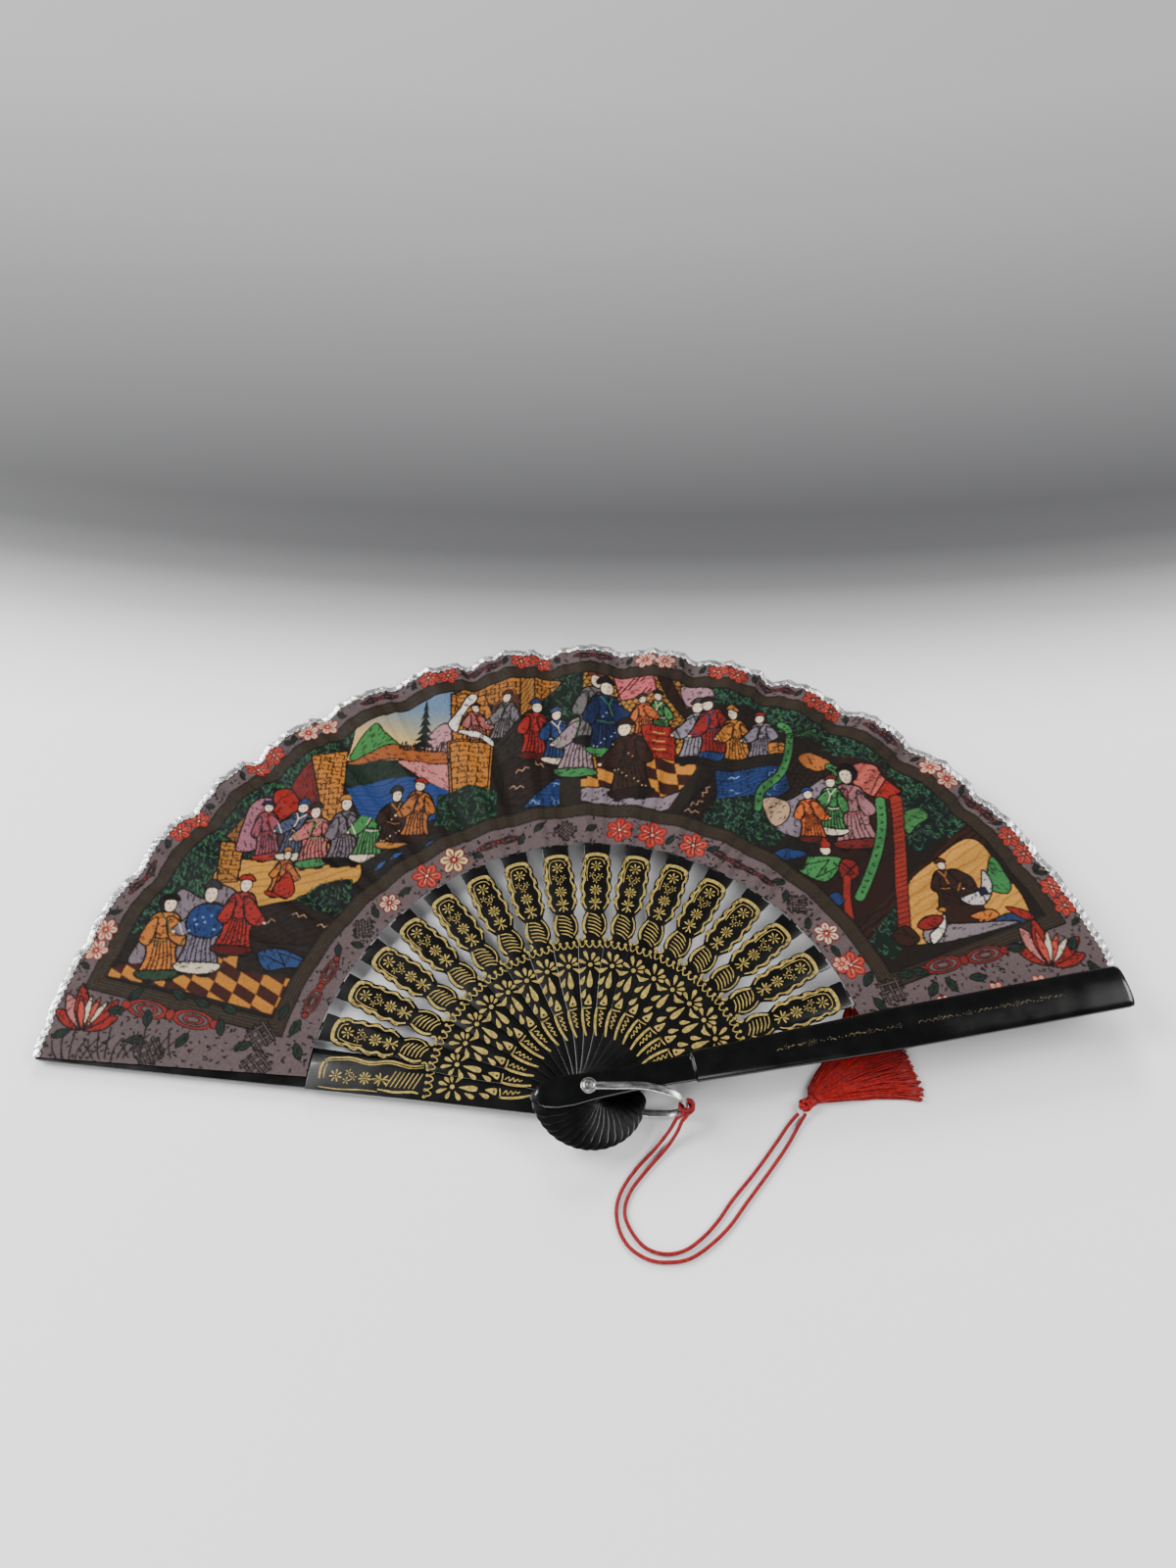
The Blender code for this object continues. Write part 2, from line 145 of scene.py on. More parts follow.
def grid_faces(rows, columns, closed=False):
    """Faces of a grid of vertices, whose columns may close into a ring."""
    faces = []
    for i in range(rows - 1):
        for j in range(columns if closed else columns - 1):
            k = (j + 1) % columns
            faces.append((i * columns + j, i * columns + k, (i + 1) * columns + k, (i + 1) * columns + j))
    return faces


def lofted(rings):
    """Vertices and faces of a closed body through rings of points."""
    count = len(rings[0])
    last = (len(rings) - 1) * count
    faces = grid_faces(len(rings), count, closed=True)
    faces += [tuple(range(count - 1, -1, -1)), tuple(last + j for j in range(count))]
    return np.vstack(rings), faces


def frames_along(path):
    """A side and an up direction at each point, which turn as little as they can."""
    ahead = np.gradient(path, axis=0)
    ahead /= np.linalg.norm(ahead, axis=1)[:, None]
    up = np.array([0.0, 0.0, 1.0])
    if abs(ahead[0] @ up) > 0.9:
        up = np.array([0.0, 1.0, 0.0])
    sides, ups = [], []
    for t in ahead:
        up = up - (up @ t) * t
        up /= np.linalg.norm(up)
        ups.append(up)
        sides.append(np.cross(t, up))
    return np.array(sides), np.array(ups)


def tube_data(path, radius, sides, lobes=0, depth=0.0, twist=0.0):
    """A capped tube's vertices and faces. Its section may be lobed and turn along it, as laid cord does."""
    path = np.array(path, float)
    side, up = frames_along(path)
    steps = np.linalg.norm(np.diff(path, axis=0), axis=1)
    travelled = np.concatenate([[0], np.cumsum(steps)])
    turn = np.linspace(0, math.tau, sides, endpoint=False)
    rings = []
    for i, point in enumerate(path):
        lobe = np.abs(np.cos(lobes / 2 * (turn + twist * travelled[i]))) if lobes else np.ones(sides)
        reach = (radius - depth * (1 - lobe))[:, None]
        rings.append(point + reach * (np.cos(turn)[:, None] * side[i] + np.sin(turn)[:, None] * up[i]))
    return lofted(rings)


def merged(parts):
    """One list of vertices and one of faces from several."""
    vertices, faces, count = [], [], 0
    for some_vertices, some_faces in parts:
        vertices.append(some_vertices)
        faces += [tuple(i + count for i in face) for face in some_faces]
        count += len(some_vertices)
    return np.vstack(vertices), faces


def turned(obj, degrees):
    """Turns a shape made along +X about the rivet."""
    obj.data.transform(Matrix.Rotation(math.radians(degrees), 4, "Z"))
    return obj


def plate(name, outlines, low, high, rounding, material):
    """A flat plate with rounded edges, from an outline and its holes in metres."""
    curve = bpy.data.curves.new(name, "CURVE")
    curve.dimensions = "2D"
    curve.fill_mode = "BOTH"
    curve.bevel_depth = rounding
    curve.bevel_resolution = 1
    curve.offset = -rounding
    curve.extrude = (high - low) / 2 - rounding
    for outline in outlines:
        spline = curve.splines.new("POLY")
        spline.points.add(len(outline) - 1)
        for point, (x, y) in zip(spline.points, outline):
            point.co = (x, y, 0, 1)
        spline.use_cyclic_u = True
    helper = linked("helper", curve)
    bpy.context.view_layer.update()
    mesh = bpy.data.meshes.new_from_object(helper.evaluated_get(bpy.context.evaluated_depsgraph_get()))
    bpy.data.objects.remove(helper, do_unlink=True)
    shape = bmesh.new()
    shape.from_mesh(mesh)
    bmesh.ops.remove_doubles(shape, verts=shape.verts, dist=1e-7)
    bmesh.ops.translate(shape, verts=shape.verts, vec=(0, 0, (low + high) / 2))
    shape.to_mesh(mesh)
    shape.free()
    mesh.name = name
    mesh.materials.clear()
    mesh.materials.append(material)
    mesh.shade_smooth()
    mesh.set_sharp_from_angle(angle=math.radians(50))
    return linked(name, mesh)


# Materials


def srgb(colour):
    """Linear values of an 8-bit colour."""
    return tuple(c / 255 / 12.92 if c <= 10 else ((c / 255 + 0.055) / 1.055) ** 2.4 for c in colour)


class Nodes:
    """A material's Principled shader with short ways to add the nodes in front of it."""

    def __init__(self, name, colour, roughness, metallic=0.0, **values):
        self.material = bpy.data.materials.new(name)
        self.material.use_nodes = True
        self.tree = self.material.node_tree
        self.shader = self.tree.nodes["Principled BSDF"]
        self.shader.inputs["Base Color"].default_value = (*srgb(colour), 1)
        self.shader.inputs["Roughness"].default_value = roughness
        self.shader.inputs["Metallic"].default_value = metallic
        for key, value in values.items():
            self.shader.inputs[key.replace("_", " ")].default_value = value
        self.place = self.tree.nodes.new("ShaderNodeTexCoord").outputs["Object"]

    def add(self, kind, **settings):
        node = self.tree.nodes.new("ShaderNode" + kind)
        for key, value in settings.items():
            setattr(node, key, value)
        return node

    def link(self, source, target):
        self.tree.links.new(source, target)

    def noise(self, scale, detail=2.0, stretch=None):
        node = self.add("TexNoise")
        node.inputs["Scale"].default_value = scale
        node.inputs["Detail"].default_value = detail
        place = self.place
        if stretch:
            mapping = self.add("Mapping")
            mapping.inputs["Scale"].default_value = stretch
            self.link(place, mapping.inputs["Vector"])
            place = mapping.outputs["Vector"]
        self.link(place, node.inputs["Vector"])
        return node.outputs["Fac"]

    def spread(self, value, low, high, start=0.3, end=0.7):
        """The value's middle range spread to low..high."""
        node = self.add("MapRange")
        self.link(value, node.inputs["Value"])
        for key, number in (("From Min", start), ("From Max", end), ("To Min", low), ("To Max", high)):
            node.inputs[key].default_value = number
        return node.outputs["Result"]

    def mix(self, share, one, two, kind="MIX"):
        """A blend of two colours or outputs, by a number or an output."""
        node = self.add("Mix", data_type="RGBA", blend_type=kind)
        for socket, value in ((node.inputs[0], share), (node.inputs[6], one), (node.inputs[7], two)):
            if isinstance(value, bpy.types.NodeSocket):
                self.link(value, socket)
            else:
                socket.default_value = value if isinstance(value, float) else (*srgb(value), 1)
        return node.outputs[2]

    def colour(self, value):
        self.link(value, self.shader.inputs["Base Color"])

    def roughness(self, value):
        self.link(value, self.shader.inputs["Roughness"])

    def bump(self, height, distance, strength=1.0):
        node = self.add("Bump")
        node.inputs["Strength"].default_value = strength
        node.inputs["Distance"].default_value = distance
        self.link(height, node.inputs["Height"])
        self.link(node.outputs["Normal"], self.shader.inputs["Normal"])


def lacquer(name, gloss, wear):
    """Black lacquer, with brush unevenness and duller rubbed places."""
    nodes = Nodes(name, (5, 5, 5), gloss, Coat_Weight=0.4, Coat_Roughness=0.08, Specular_IOR_Level=0.3)
    rubbed = nodes.noise(160, 4)
    nodes.colour(nodes.mix(nodes.spread(rubbed, 0.0, 1.0, 0.45, 0.72), (4, 4, 4), wear))
    nodes.roughness(nodes.spread(nodes.noise(90, 3), gloss - 0.05, gloss + 0.1))
    nodes.bump(nodes.noise(240, 2), 0.00002, 0.3)
    return nodes.material


def gold_print(name, light, dark):
    """Pale gold printing ink with an uneven, slightly worn film."""
    nodes = Nodes(name, light, 0.5, 0.25)
    nodes.colour(nodes.mix(nodes.spread(nodes.noise(900, 4), 0.0, 1.0, 0.35, 0.68), dark, light))
    nodes.roughness(nodes.spread(nodes.noise(1500, 2), 0.4, 0.62))
    nodes.bump(nodes.noise(2500, 2), 0.00003, 0.4)
    return nodes.material


def painted_cloth():
    """The leaf's printed cloth: vertex colours under a fine plain weave with a faint satin sheen."""
    nodes = Nodes("painted_cloth", MAUVE, 0.7, Specular_IOR_Level=0.12)
    paint = nodes.add("Attribute", attribute_name="Paint")
    threads = [nodes.add("TexWave", wave_type="BANDS", bands_direction=axis) for axis in ("X", "Y")]
    for wave in threads:
        wave.inputs["Scale"].default_value = 900
        wave.inputs["Distortion"].default_value = 0.6
        nodes.link(nodes.place, wave.inputs["Vector"])
    weave = nodes.add("Math", operation="MAXIMUM")
    nodes.link(threads[0].outputs["Fac"], weave.inputs[0])
    nodes.link(threads[1].outputs["Fac"], weave.inputs[1])
    shade = nodes.spread(weave.outputs[0], 0.82, 1.04, 0.0, 1.0)
    lit = nodes.mix(1.0, paint.outputs["Color"], shade, "MULTIPLY")
    nodes.colour(nodes.mix(nodes.spread(nodes.noise(1300, 3), 0.0, 0.34), lit, (12, 10, 9)))
    nodes.roughness(nodes.spread(nodes.noise(500, 2), 0.6, 0.8))
    nodes.bump(weave.outputs[0], 0.00005, 0.5)
    return nodes.material


def silver_paper():
    """Crinkled metal foil paper folded over the leaf's rim."""
    nodes = Nodes("silver_paper", (214, 214, 214), 0.3, 0.85)
    nodes.colour(nodes.mix(nodes.spread(nodes.noise(380, 4), 0.0, 1.0), (150, 150, 150), (236, 236, 234)))
    nodes.roughness(nodes.spread(nodes.noise(700, 3), 0.2, 0.5))
    nodes.bump(nodes.noise(700, 4), 0.0004, 0.8)
    return nodes.material


def worn_metal(name, colour, roughness):
    """White metal with drawn streaks and rubbed patches."""
    nodes = Nodes(name, colour, roughness, 1.0)
    shaded = tuple(c * 3 // 4 for c in colour)
    nodes.colour(nodes.mix(nodes.spread(nodes.noise(500, 4), 0.0, 1.0), shaded, colour))
    nodes.roughness(nodes.spread(nodes.noise(900, 3, (0.2, 1, 1)), roughness - 0.1, roughness + 0.15))
    nodes.bump(nodes.noise(1400, 2, (0.15, 1, 1)), 0.00004, 0.6)
    return nodes.material


def silk(name, light, dark, roughness):
    """Dyed silk or rayon thread with fine fibres."""
    nodes = Nodes(name, light, roughness, Sheen_Weight=0.05, Sheen_Roughness=0.35, Specular_IOR_Level=0.3)
    nodes.colour(nodes.mix(nodes.spread(nodes.noise(900, 3), 0.0, 1.0), dark, light))
    nodes.roughness(nodes.spread(nodes.noise(1500, 2), roughness - 0.1, roughness + 0.12))
    nodes.bump(nodes.noise(4000, 2), 0.00006, 0.6)
    return nodes.material


# Camera, floor and light


def make_camera():
    """The photograph's viewpoint: above the rivet, pitched down at the fan."""
    camera = linked("camera", bpy.data.cameras.new("camera"))
    camera.data.sensor_fit = "VERTICAL"
    camera.data.sensor_height = 36
    camera.data.lens = 28.08
    camera.data.clip_start = 0.01
    place = Matrix.Translation((-0.00152, -0.14213, 0.42226))
    pitch = Matrix.Rotation(math.radians(33.103), 4, "X")
    roll = Matrix.Rotation(math.radians(0.711), 4, "Z")
    camera.matrix_world = place @ pitch @ roll
    bpy.context.scene.camera = camera


SWEEP_START, SWEEP_LENGTH = 0.15, 0.8
SWEEP_CURVE = 0.3
# Painted shade on the table: greys along the ramp, dark behind the fan and lighter again further back,
# standing in for the light falling off over a white sweep.
SWEEP_SHADE_GREYS = [
    (0.0, 224), (0.03, 208), (0.055, 184), (0.084, 136), (0.114, 86), (0.14, 63), (0.172, 59), (0.284, 87),
    (0.45, 112), (0.65, 127),
]


def make_stage():
    """A pale table with painted shade: it darkens to grey behind the fan, later at its sides than in its
    middle, in place of the shading on a white sweep.
    """
    nodes = Nodes("table", (222, 223, 225), 0.6)
    split = nodes.add("SeparateXYZ")
    nodes.link(nodes.place, split.inputs[0])
    ramp = nodes.add("ValToRGB")
    square, curved = nodes.add("Math", operation="MULTIPLY"), nodes.add("Math", operation="MULTIPLY_ADD")
    for i in (0, 1):
        nodes.link(split.outputs["X"], square.inputs[i])
    nodes.link(square.outputs[0], curved.inputs[0])
    curved.inputs[1].default_value = -SWEEP_CURVE
    nodes.link(split.outputs["Y"], curved.inputs[2])
    sweep_end = SWEEP_START + SWEEP_LENGTH
    nodes.link(nodes.spread(curved.outputs[0], 0.0, 1.0, SWEEP_START, sweep_end), ramp.inputs["Fac"])
    elements = ramp.color_ramp.elements
    while len(elements) < len(SWEEP_SHADE_GREYS):
        elements.new(0.5)
    for element, (place, grey) in zip(elements, SWEEP_SHADE_GREYS):
        element.position = place
        element.color = (*srgb((grey, grey, grey + 1)), 1)
    nodes.colour(ramp.outputs["Color"])
    nodes.bump(nodes.noise(300, 3), 0.0001, 0.15)
    corners = [(-3, -3, 0), (3, -3, 0), (3, 3, 0), (-3, 3, 0)]
    mesh_object("table", corners, [(0, 1, 2, 3)], nodes.material)


def make_lights():
    """Soft lamps round the fan. The lacquer doesn't mirror the one behind it."""
    lamps = [
        ("back", (-0.2, 2.1, 1.0), (0, 0.05, 0), 0.9, 90.0),
        ("left", (-1.6, 0.62, 1.2), (0, 0.05, 0), 1.2, 84.0),
        ("right", (1.35, 0.3, 1.1), (0, 0.05, 0), 1.0, 31.0),
        ("front", (0.2, -1.3, 1.2), (0, 0.05, 0), 0.8, 9.0),
        ("glint", (-0.35, -1.0, 0.36), (0, 0, 0), 0.5, 8.0),
    ]
    for name, place, aim, size, power in lamps:
        light = bpy.data.lights.new(name, "AREA")
        light.shape = "SQUARE"
        light.size = size
        light.energy = power
        obj = linked(name, light)
        obj.visible_glossy = name != "back"
        obj.location = place
        obj.rotation_euler = (Vector(aim) - Vector(place)).to_track_quat("-Z", "Y").to_euler()
    world = bpy.data.worlds.new("studio")
    bpy.context.scene.world = world
    world.use_nodes = True
    background = world.node_tree.nodes["Background"]
    background.inputs["Color"].default_value = (0.9, 0.93, 1.0, 1)
    background.inputs["Strength"].default_value = 0.12


# Cord and tassel

STRAND_ROUTES = {
    "cord_strand_outer": [
        (0.0304, -0.0082, 0.0066), (0.028, -0.0116, 0.0039), (0.0235, -0.0168, 0.0015),
        (0.0163, -0.0244, 0.00075), (0.0114, -0.0316, 0.00075), (0.0097, -0.0381, 0.00075),
        (0.011, -0.045, 0.00075), (0.0146, -0.0502, 0.00075), (0.0208, -0.0536, 0.00075),
        (0.0273, -0.0542, 0.00075), (0.0339, -0.053, 0.00075), (0.0407, -0.0488, 0.00075),
        (0.0476, -0.0425, 0.00075), (0.0536, -0.0349, 0.00075), (0.0615, -0.0251, 0.00075),
        (0.0688, -0.0155, 0.00075), (0.0736, -0.0079, 0.0009), (0.076, -0.0044, 0.0019),
    ],
    "cord_strand_inner": [
        (0.0323, -0.009, 0.0062), (0.0306, -0.0122, 0.0037), (0.027, -0.0169, 0.0014),
        (0.02, -0.0246, 0.00075), (0.0146, -0.0316, 0.00075), (0.0125, -0.0381, 0.00075),
        (0.0145, -0.0442, 0.00075), (0.0192, -0.0496, 0.00075), (0.0257, -0.0516, 0.00075),
        (0.0323, -0.0504, 0.00075), (0.0383, -0.0464, 0.00075), (0.0437, -0.0409, 0.00075),
        (0.049, -0.0339, 0.00075), (0.0573, -0.0244, 0.00075), (0.065, -0.0146, 0.00075),
        (0.0698, -0.0082, 0.0009), (0.0734, -0.0044, 0.0019),
    ],
}
CORD_DIAMETER = 1.4 * MM
LAY_TWIST = 2600
TASSEL_ROOT = Vector((0.0782, 0.0008, 0.0022))


def make_hitch(material):
    """The cord's hitch: turns round the bail's bend, with the ends drawn down through them."""
    low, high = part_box("cord_knot")
    middle = (low + high) / 2
    turns = []
    for i in range(130):
        turn = math.radians(-100) + math.tau * 3.6 * i / 129
        reach = 1.95 * MM + 0.35 * MM * math.sin(1.7 * turn)
        rise = 2.4 * MM * (i / 129 - 0.5)
        turns.append(middle + Vector((reach * math.cos(turn), reach * math.sin(turn), rise)))
    drops = []
    for name, shift in (("cord_strand_outer", -0.6 * MM), ("cord_strand_inner", 0.6 * MM)):
        end = Vector(STRAND_ROUTES[name][0])
        start = Vector((middle.x + shift, middle.y - 2.2 * MM, middle.z + 0.4 * MM))
        line = smooth_line([start, start.lerp(end, 0.5) + Vector((0, -0.3 * MM, 0.3 * MM)), end], 14)
        drops.append(tube_data(line, CORD_DIAMETER / 2, 12, 3, 0.14 * MM, LAY_TWIST))
    parts = [tube_data(turns, 0.8 * MM, 12, 3, 0.13 * MM, LAY_TWIST), *drops]
    obj = mesh_object("cord_hitch", *merged(parts), material)
    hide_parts("cord_knot")
    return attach(obj, "tassel_cord")


def make_tassel_knot(material):
    """The wrapped knot that gathers both strands above the fringe."""
    low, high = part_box("tassel_knot")
    middle = (low + high) / 2
    path = []
    for i in range(241):
        turn = math.tau * i / 240
        reach = 1.35 * MM + 0.6 * MM * math.cos(5 * turn)
        flat = 0.8 * MM * math.sin(5 * turn)
        path.append(middle + Vector((1.1 * reach * math.cos(3 * turn), reach * math.sin(3 * turn), flat)))
    collar = []
    aim = Vector((math.cos(math.radians(32)), math.sin(math.radians(32)), 0))
    across = Vector((-aim.y, aim.x, 0))
    for i in range(120):
        turn = math.tau * 4 * i / 119
        along = middle + aim * (1.6 * MM + 0.55 * MM * i / 30)
        ring = across * 1.75 * MM * math.cos(turn) + Vector((0, 0, 1.45 * MM * math.sin(turn)))
        collar.append(along + ring)
    parts = [tube_data(path, 0.62 * MM, 10, 3, 0.12 * MM, LAY_TWIST), tube_data(collar, 0.32 * MM, 8)]
    obj = mesh_object("tassel_head", *merged(parts), material)
    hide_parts("tassel_knot")
    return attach(obj, "tassel_cord")


def make_fringe(material):
    """Loose threads fanned from the knot and pressed flat on the table."""
    rng = random.Random(7)
    parts = []
    threads = 560
    for i in range(threads):
        share = (i + rng.random()) / threads
        aim = math.radians(1.5 + 62 * share)
        reach = (39.5 + rng.uniform(-1.3, 0.8) - 3.2 * share) * MM
        level = rng.random()
        root = TASSEL_ROOT + Vector((rng.uniform(-0.5, 1.2), rng.uniform(-1.6, 1.8) + 2.2 * share, 0)) * MM
        bend = rng.uniform(-0.05, 0.05)
        wave = rng.uniform(-0.6, 0.6) * MM
        points = []
        for j in range(9):
            t = j / 8
            turn = aim + bend * (t - 0.5) + 0.12 * math.sin(math.pi * t) * (0.5 - share)
            height = (0.3 + level * (2.9 - 1.5 * t) * min(1, 0.45 + 2 * t) + 0.7 * (1 - t) ** 2) * MM
            side = wave * math.sin(2.6 * math.pi * t + i)
            out, across = math.cos(turn), math.sin(turn)
            along = reach * t
            x = root.x + along * out - side * across
            y = root.y + along * across + side * out
            points.append((x, y, height))
        parts.append(tube_data(points, rng.uniform(0.22, 0.31) * MM, 5))
    obj = mesh_object("tassel_threads", *merged(parts), material)
    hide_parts("tassel_fringe")
    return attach(obj, "tassel_cord")


def make_cords():
    cord_red = silk("cord_red", (140, 8, 14), (84, 3, 7), 0.6)
    tassel_red = silk("tassel_red", (158, 6, 4), (84, 2, 2), 0.5)
    hitch = make_hitch(cord_red)
    head = make_tassel_knot(tassel_red)
    fringe = make_fringe(tassel_red)
    for name, route in STRAND_ROUTES.items():
        path = evenly(smooth_line(route, 600), 420)
        laid = tube_data(path, CORD_DIAMETER / 2, 18, 3, 0.16 * MM, LAY_TWIST)
        obj = mesh_object(name + "_laid", *laid, cord_red)
        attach(obj, "tassel_cord")
        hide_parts(name)
        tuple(route[0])


# Painting the leaf: a canvas in millimetres, sampled onto the cloth's vertices

DOTS = 5
LEFT, BOTTOM = -202, 0
CANVAS = np.empty((205 * DOTS, 404 * DOTS, 3), np.float32)
ACROSS = LEFT + (np.arange(CANVAS.shape[1]) + 0.5) / DOTS
UPWARD = BOTTOM + (np.arange(CANVAS.shape[0]) + 0.5) / DOTS
RADIUS = np.hypot(ACROSS[None, :], UPWARD[:, None]).astype(np.float32)
BEARING = np.degrees(np.arctan2(UPWARD[:, None], ACROSS[None, :])).astype(np.float32)


def window(points, margin):
    """The canvas rows and columns that hold the points."""
    low = np.min(points, axis=0) - margin
    high = np.max(points, axis=0) + margin
    far_x, far_y = high[0] + 1 / DOTS, high[1] + 1 / DOTS
    left, right = (int(np.clip((v - LEFT) * DOTS, 0, CANVAS.shape[1])) for v in (low[0], far_x))
    bottom, top = (int(np.clip((v - BOTTOM) * DOTS, 0, CANVAS.shape[0])) for v in (low[1], far_y))
    return slice(bottom, top), slice(left, right)


def inside(points, rows, columns):
    x = ACROSS[None, columns]
    y = UPWARD[rows, None]
    found = np.zeros((y.shape[0], x.shape[1]), bool)
    for (x0, y0), (x1, y1) in zip(points, np.roll(points, -1, axis=0)):
        if y0 == y1:
            continue
        crosses = (y0 > y) != (y1 > y)
        found ^= crosses & (x < (x1 - x0) * (y - y0) / (y1 - y0) + x0)
    return found


def fill(points, colour, pattern=None):
    """Paints a closed outline with a colour, or with what pattern(x, y) gives."""
    points = np.array(points, float)
    rows, columns = window(points, 0.2)
    found = inside(points, rows, columns)
    if pattern is None:
        CANVAS[rows, columns][found] = colour
    else:
        x, y = np.meshgrid(ACROSS[columns], UPWARD[rows])
        CANVAS[rows, columns][found] = pattern(x[found], y[found])


def stroke(points, width, colour):
    points = np.array(points, float)
    rows, columns = window(points, width)
    x = ACROSS[None, columns]
    y = UPWARD[rows, None]
    near = np.zeros((y.shape[0], x.shape[1]), bool)
    for (x0, y0), (x1, y1) in zip(points, points[1:]):
        dx, dy = x1 - x0, y1 - y0
        t = np.clip(((x - x0) * dx + (y - y0) * dy) / max(dx * dx + dy * dy, 1e-9), 0, 1)
        near |= (x - x0 - t * dx) ** 2 + (y - y0 - t * dy) ** 2 <= width * width / 4
    CANVAS[rows, columns][near] = colour


def hatch(outline, colour):
    """Short pen strokes in a darker tone, about one to each 6 square millimetres."""
    x, y = outline.T
    area = abs(np.sum(x * np.roll(y, -1) - y * np.roll(x, -1))) / 2
    rng = random.Random(int(area * 97))
    rows, columns = window(outline, 0)
    spots = np.argwhere(inside(outline, rows, columns))
    slant = rng.uniform(0, 180)
    tone = [0.42 * c for c in colour]
    for _ in range(int(area / 6) if len(spots) else 0):
        i, j = spots[rng.randrange(len(spots))]
        turn = slant + rng.uniform(-25, 25)
        size = rng.uniform(0.45, 1.0)
        stroke(placed([(-1, 0), (0, 0.35), (1, 0)], ACROSS[columns][j], UPWARD[rows][i], turn, size), 0.3,
            tone)


def shape(points, colour, line=0.4, rounded=True, pattern=None, ink=INK):
    """A filled outline with an ink line round it."""
    outline = smooth_line(points, 6 * len(points), closed=True) if rounded else np.array(points, float)
    fill(outline, colour, pattern)
    if colour is not None and sum(colour) > 150:
        hatch(outline, colour)
    if line:
        stroke(np.vstack([outline, outline[:1]]), 1.35 * line, ink)


def placed(points, x, y, turn=0.0, size=1.0):
    """Points drawn about the origin, put at a place."""
    c, s = math.cos(math.radians(turn)) * size, math.sin(math.radians(turn)) * size
    return [(x + px * c - py * s, y + px * s + py * c) for px, py in points]


def oval(x, y, wide, high, turn, colour, line=0.0, ink=INK):
    ring = [(wide * math.cos(a), high * math.sin(a)) for a in np.linspace(0, math.tau, 20, endpoint=False)]
    outline = placed(ring, x, y, turn)
    fill(outline, colour)
    if line:
        stroke([*outline, outline[0]], line, ink)


def polar(radius, bearing):
    return radius * math.cos(math.radians(bearing)), radius * math.sin(math.radians(bearing))


def specks(rng, where, count, area):
    """Short black dashes scattered where the test allows."""
    left, bottom, right, top = area
    for _ in range(count):
        x, y = rng.uniform(left, right), rng.uniform(bottom, top)
        radius, bearing = math.hypot(x, y), math.degrees(math.atan2(y, x))
        if where(radius, bearing):
            turn = rng.uniform(0, math.tau)
            reach = rng.uniform(0.2, 0.6)
            dx, dy = reach * math.cos(turn), reach * math.sin(turn)
            stroke([(x - dx, y - dy), (x + dx, y + dy)], rng.uniform(0.35, 0.6), INK)


def little_leaf(x, y, size, turn):
    outline = [(-1, 0), (-0.3, 0.5), (0.5, 0.42), (1.1, 0), (0.5, -0.42), (-0.3, -0.5)]
    shape(placed(outline, x, y, turn, size), LEAF_GREEN, 0.3)
    stroke(placed([(-1.4, -0.1), (0.6, 0)], x, y, turn, size), 0.25, INK)


def blossom(x, y, size, petal, heart, petals=7, turn=0.0):
    """A flower of round petals, each with a streak from its heart."""
    for i in range(petals):
        angle = turn + 360 * i / petals
        px, py = placed([(size * 0.66, 0)], x, y, angle)[0]
        oval(px, py, size * 0.42, size * 0.34, angle, petal, 0.42, heart)
        stroke([(x, y), placed([(size * 0.8, 0)], x, y, angle)[0]], size * 0.11, heart)
        stroke([(x, y), placed([(size * 0.6, 0)], x, y, angle + 12)[0]], size * 0.06, CREAM)
    oval(x, y, size * 0.24, size * 0.24, 0, heart)
    oval(x, y, size * 0.12, size * 0.12, 0, CREAM)


def ribbon(x, y, length, turn, colour=RED):
    """Two long lobes tied at the middle, drawn as nested loops."""
    for side in (-1, 1):
        for reach, tone in ((1.0, colour), (0.72, MAUVE), (0.5, colour), (0.3, MAUVE)):
            centre = placed([(side * length * 0.26, 0)], x, y, turn)[0]
            oval(*centre, length * 0.24 * reach, length * 0.1 * reach, turn, tone, 0.25)
        end = placed([(side * length * 0.5, 0)], x, y, turn)[0]
        oval(*end, length * 0.05, length * 0.05, 0, colour, 0.3)
    oval(x, y, length * 0.05, length * 0.06, turn, colour, 0.3)


def knot_motif(x, y, size, turn):
    """An open lattice of crossing loops."""
    for i in (-1, 0, 1):
        for one, two in (((-1.5, i), (1.5, i)), ((i, -1.5), (i, 1.5))):
            stroke(placed([one, two], x, y, turn, size), 1.25, INK)
            stroke(placed([one, two], x, y, turn, size), 0.55, MAUVE)
    corners = [(-1.5, -1), (-1.5, 0), (1.5, 0), (1.5, 1), (0, 1.5), (-1, 1.5), (0, -1.5), (1, -1.5)]
    for one, two in zip(corners[::2], corners[1::2]):
        stroke(placed([one, two], x, y, turn, size), 0.4, INK)


def lotus(x, y, size, turn):
    """A many-pointed red bloom that opens upwards."""
    for spread, reach, tone in ((62, 0.9, RED), (-62, 0.9, RED), (38, 1.1, PINK), (-38, 1.1, RED),
        (18, 1.2, RED)):
        petal = [(0, 0), (reach * 0.5, 0.2), (reach, 0.05), (reach * 0.55, -0.16)]
        shape(placed(petal, x, y, turn + spread, size), tone, 0.35)
    for spread in (-25, -10, 5, 22):
        petal = [(0, 0), (0.45, 0.09), (0.9, 0), (0.45, -0.09)]
        shape(placed(petal, x, y, turn + spread, size), CREAM if spread % 2 else (206, 92, 74), 0.3)


def foliage(rng, outline, count, base=DARK_GREEN, tip=(78, 130, 100)):
    """A dark mass of leaves, each a short curved stroke."""
    outline = np.array(outline, float)
    fill(outline, base)
    rows, columns = window(outline, 0)
    mask = inside(outline, rows, columns)
    spots = np.argwhere(mask)
    for _ in range(count):
        i, j = spots[rng.randrange(len(spots))]
        x, y = ACROSS[columns][j], UPWARD[rows][i]
        turn = rng.uniform(40, 140) + rng.choice((0, 0, 60))
        tone = [c * rng.uniform(0.75, 1.15) for c in tip]
        stroke(placed([(0, 0), (0.8, 0.25), (1.5, 0)], x, y, turn, rng.uniform(0.7, 1.3)), 0.42, tone)


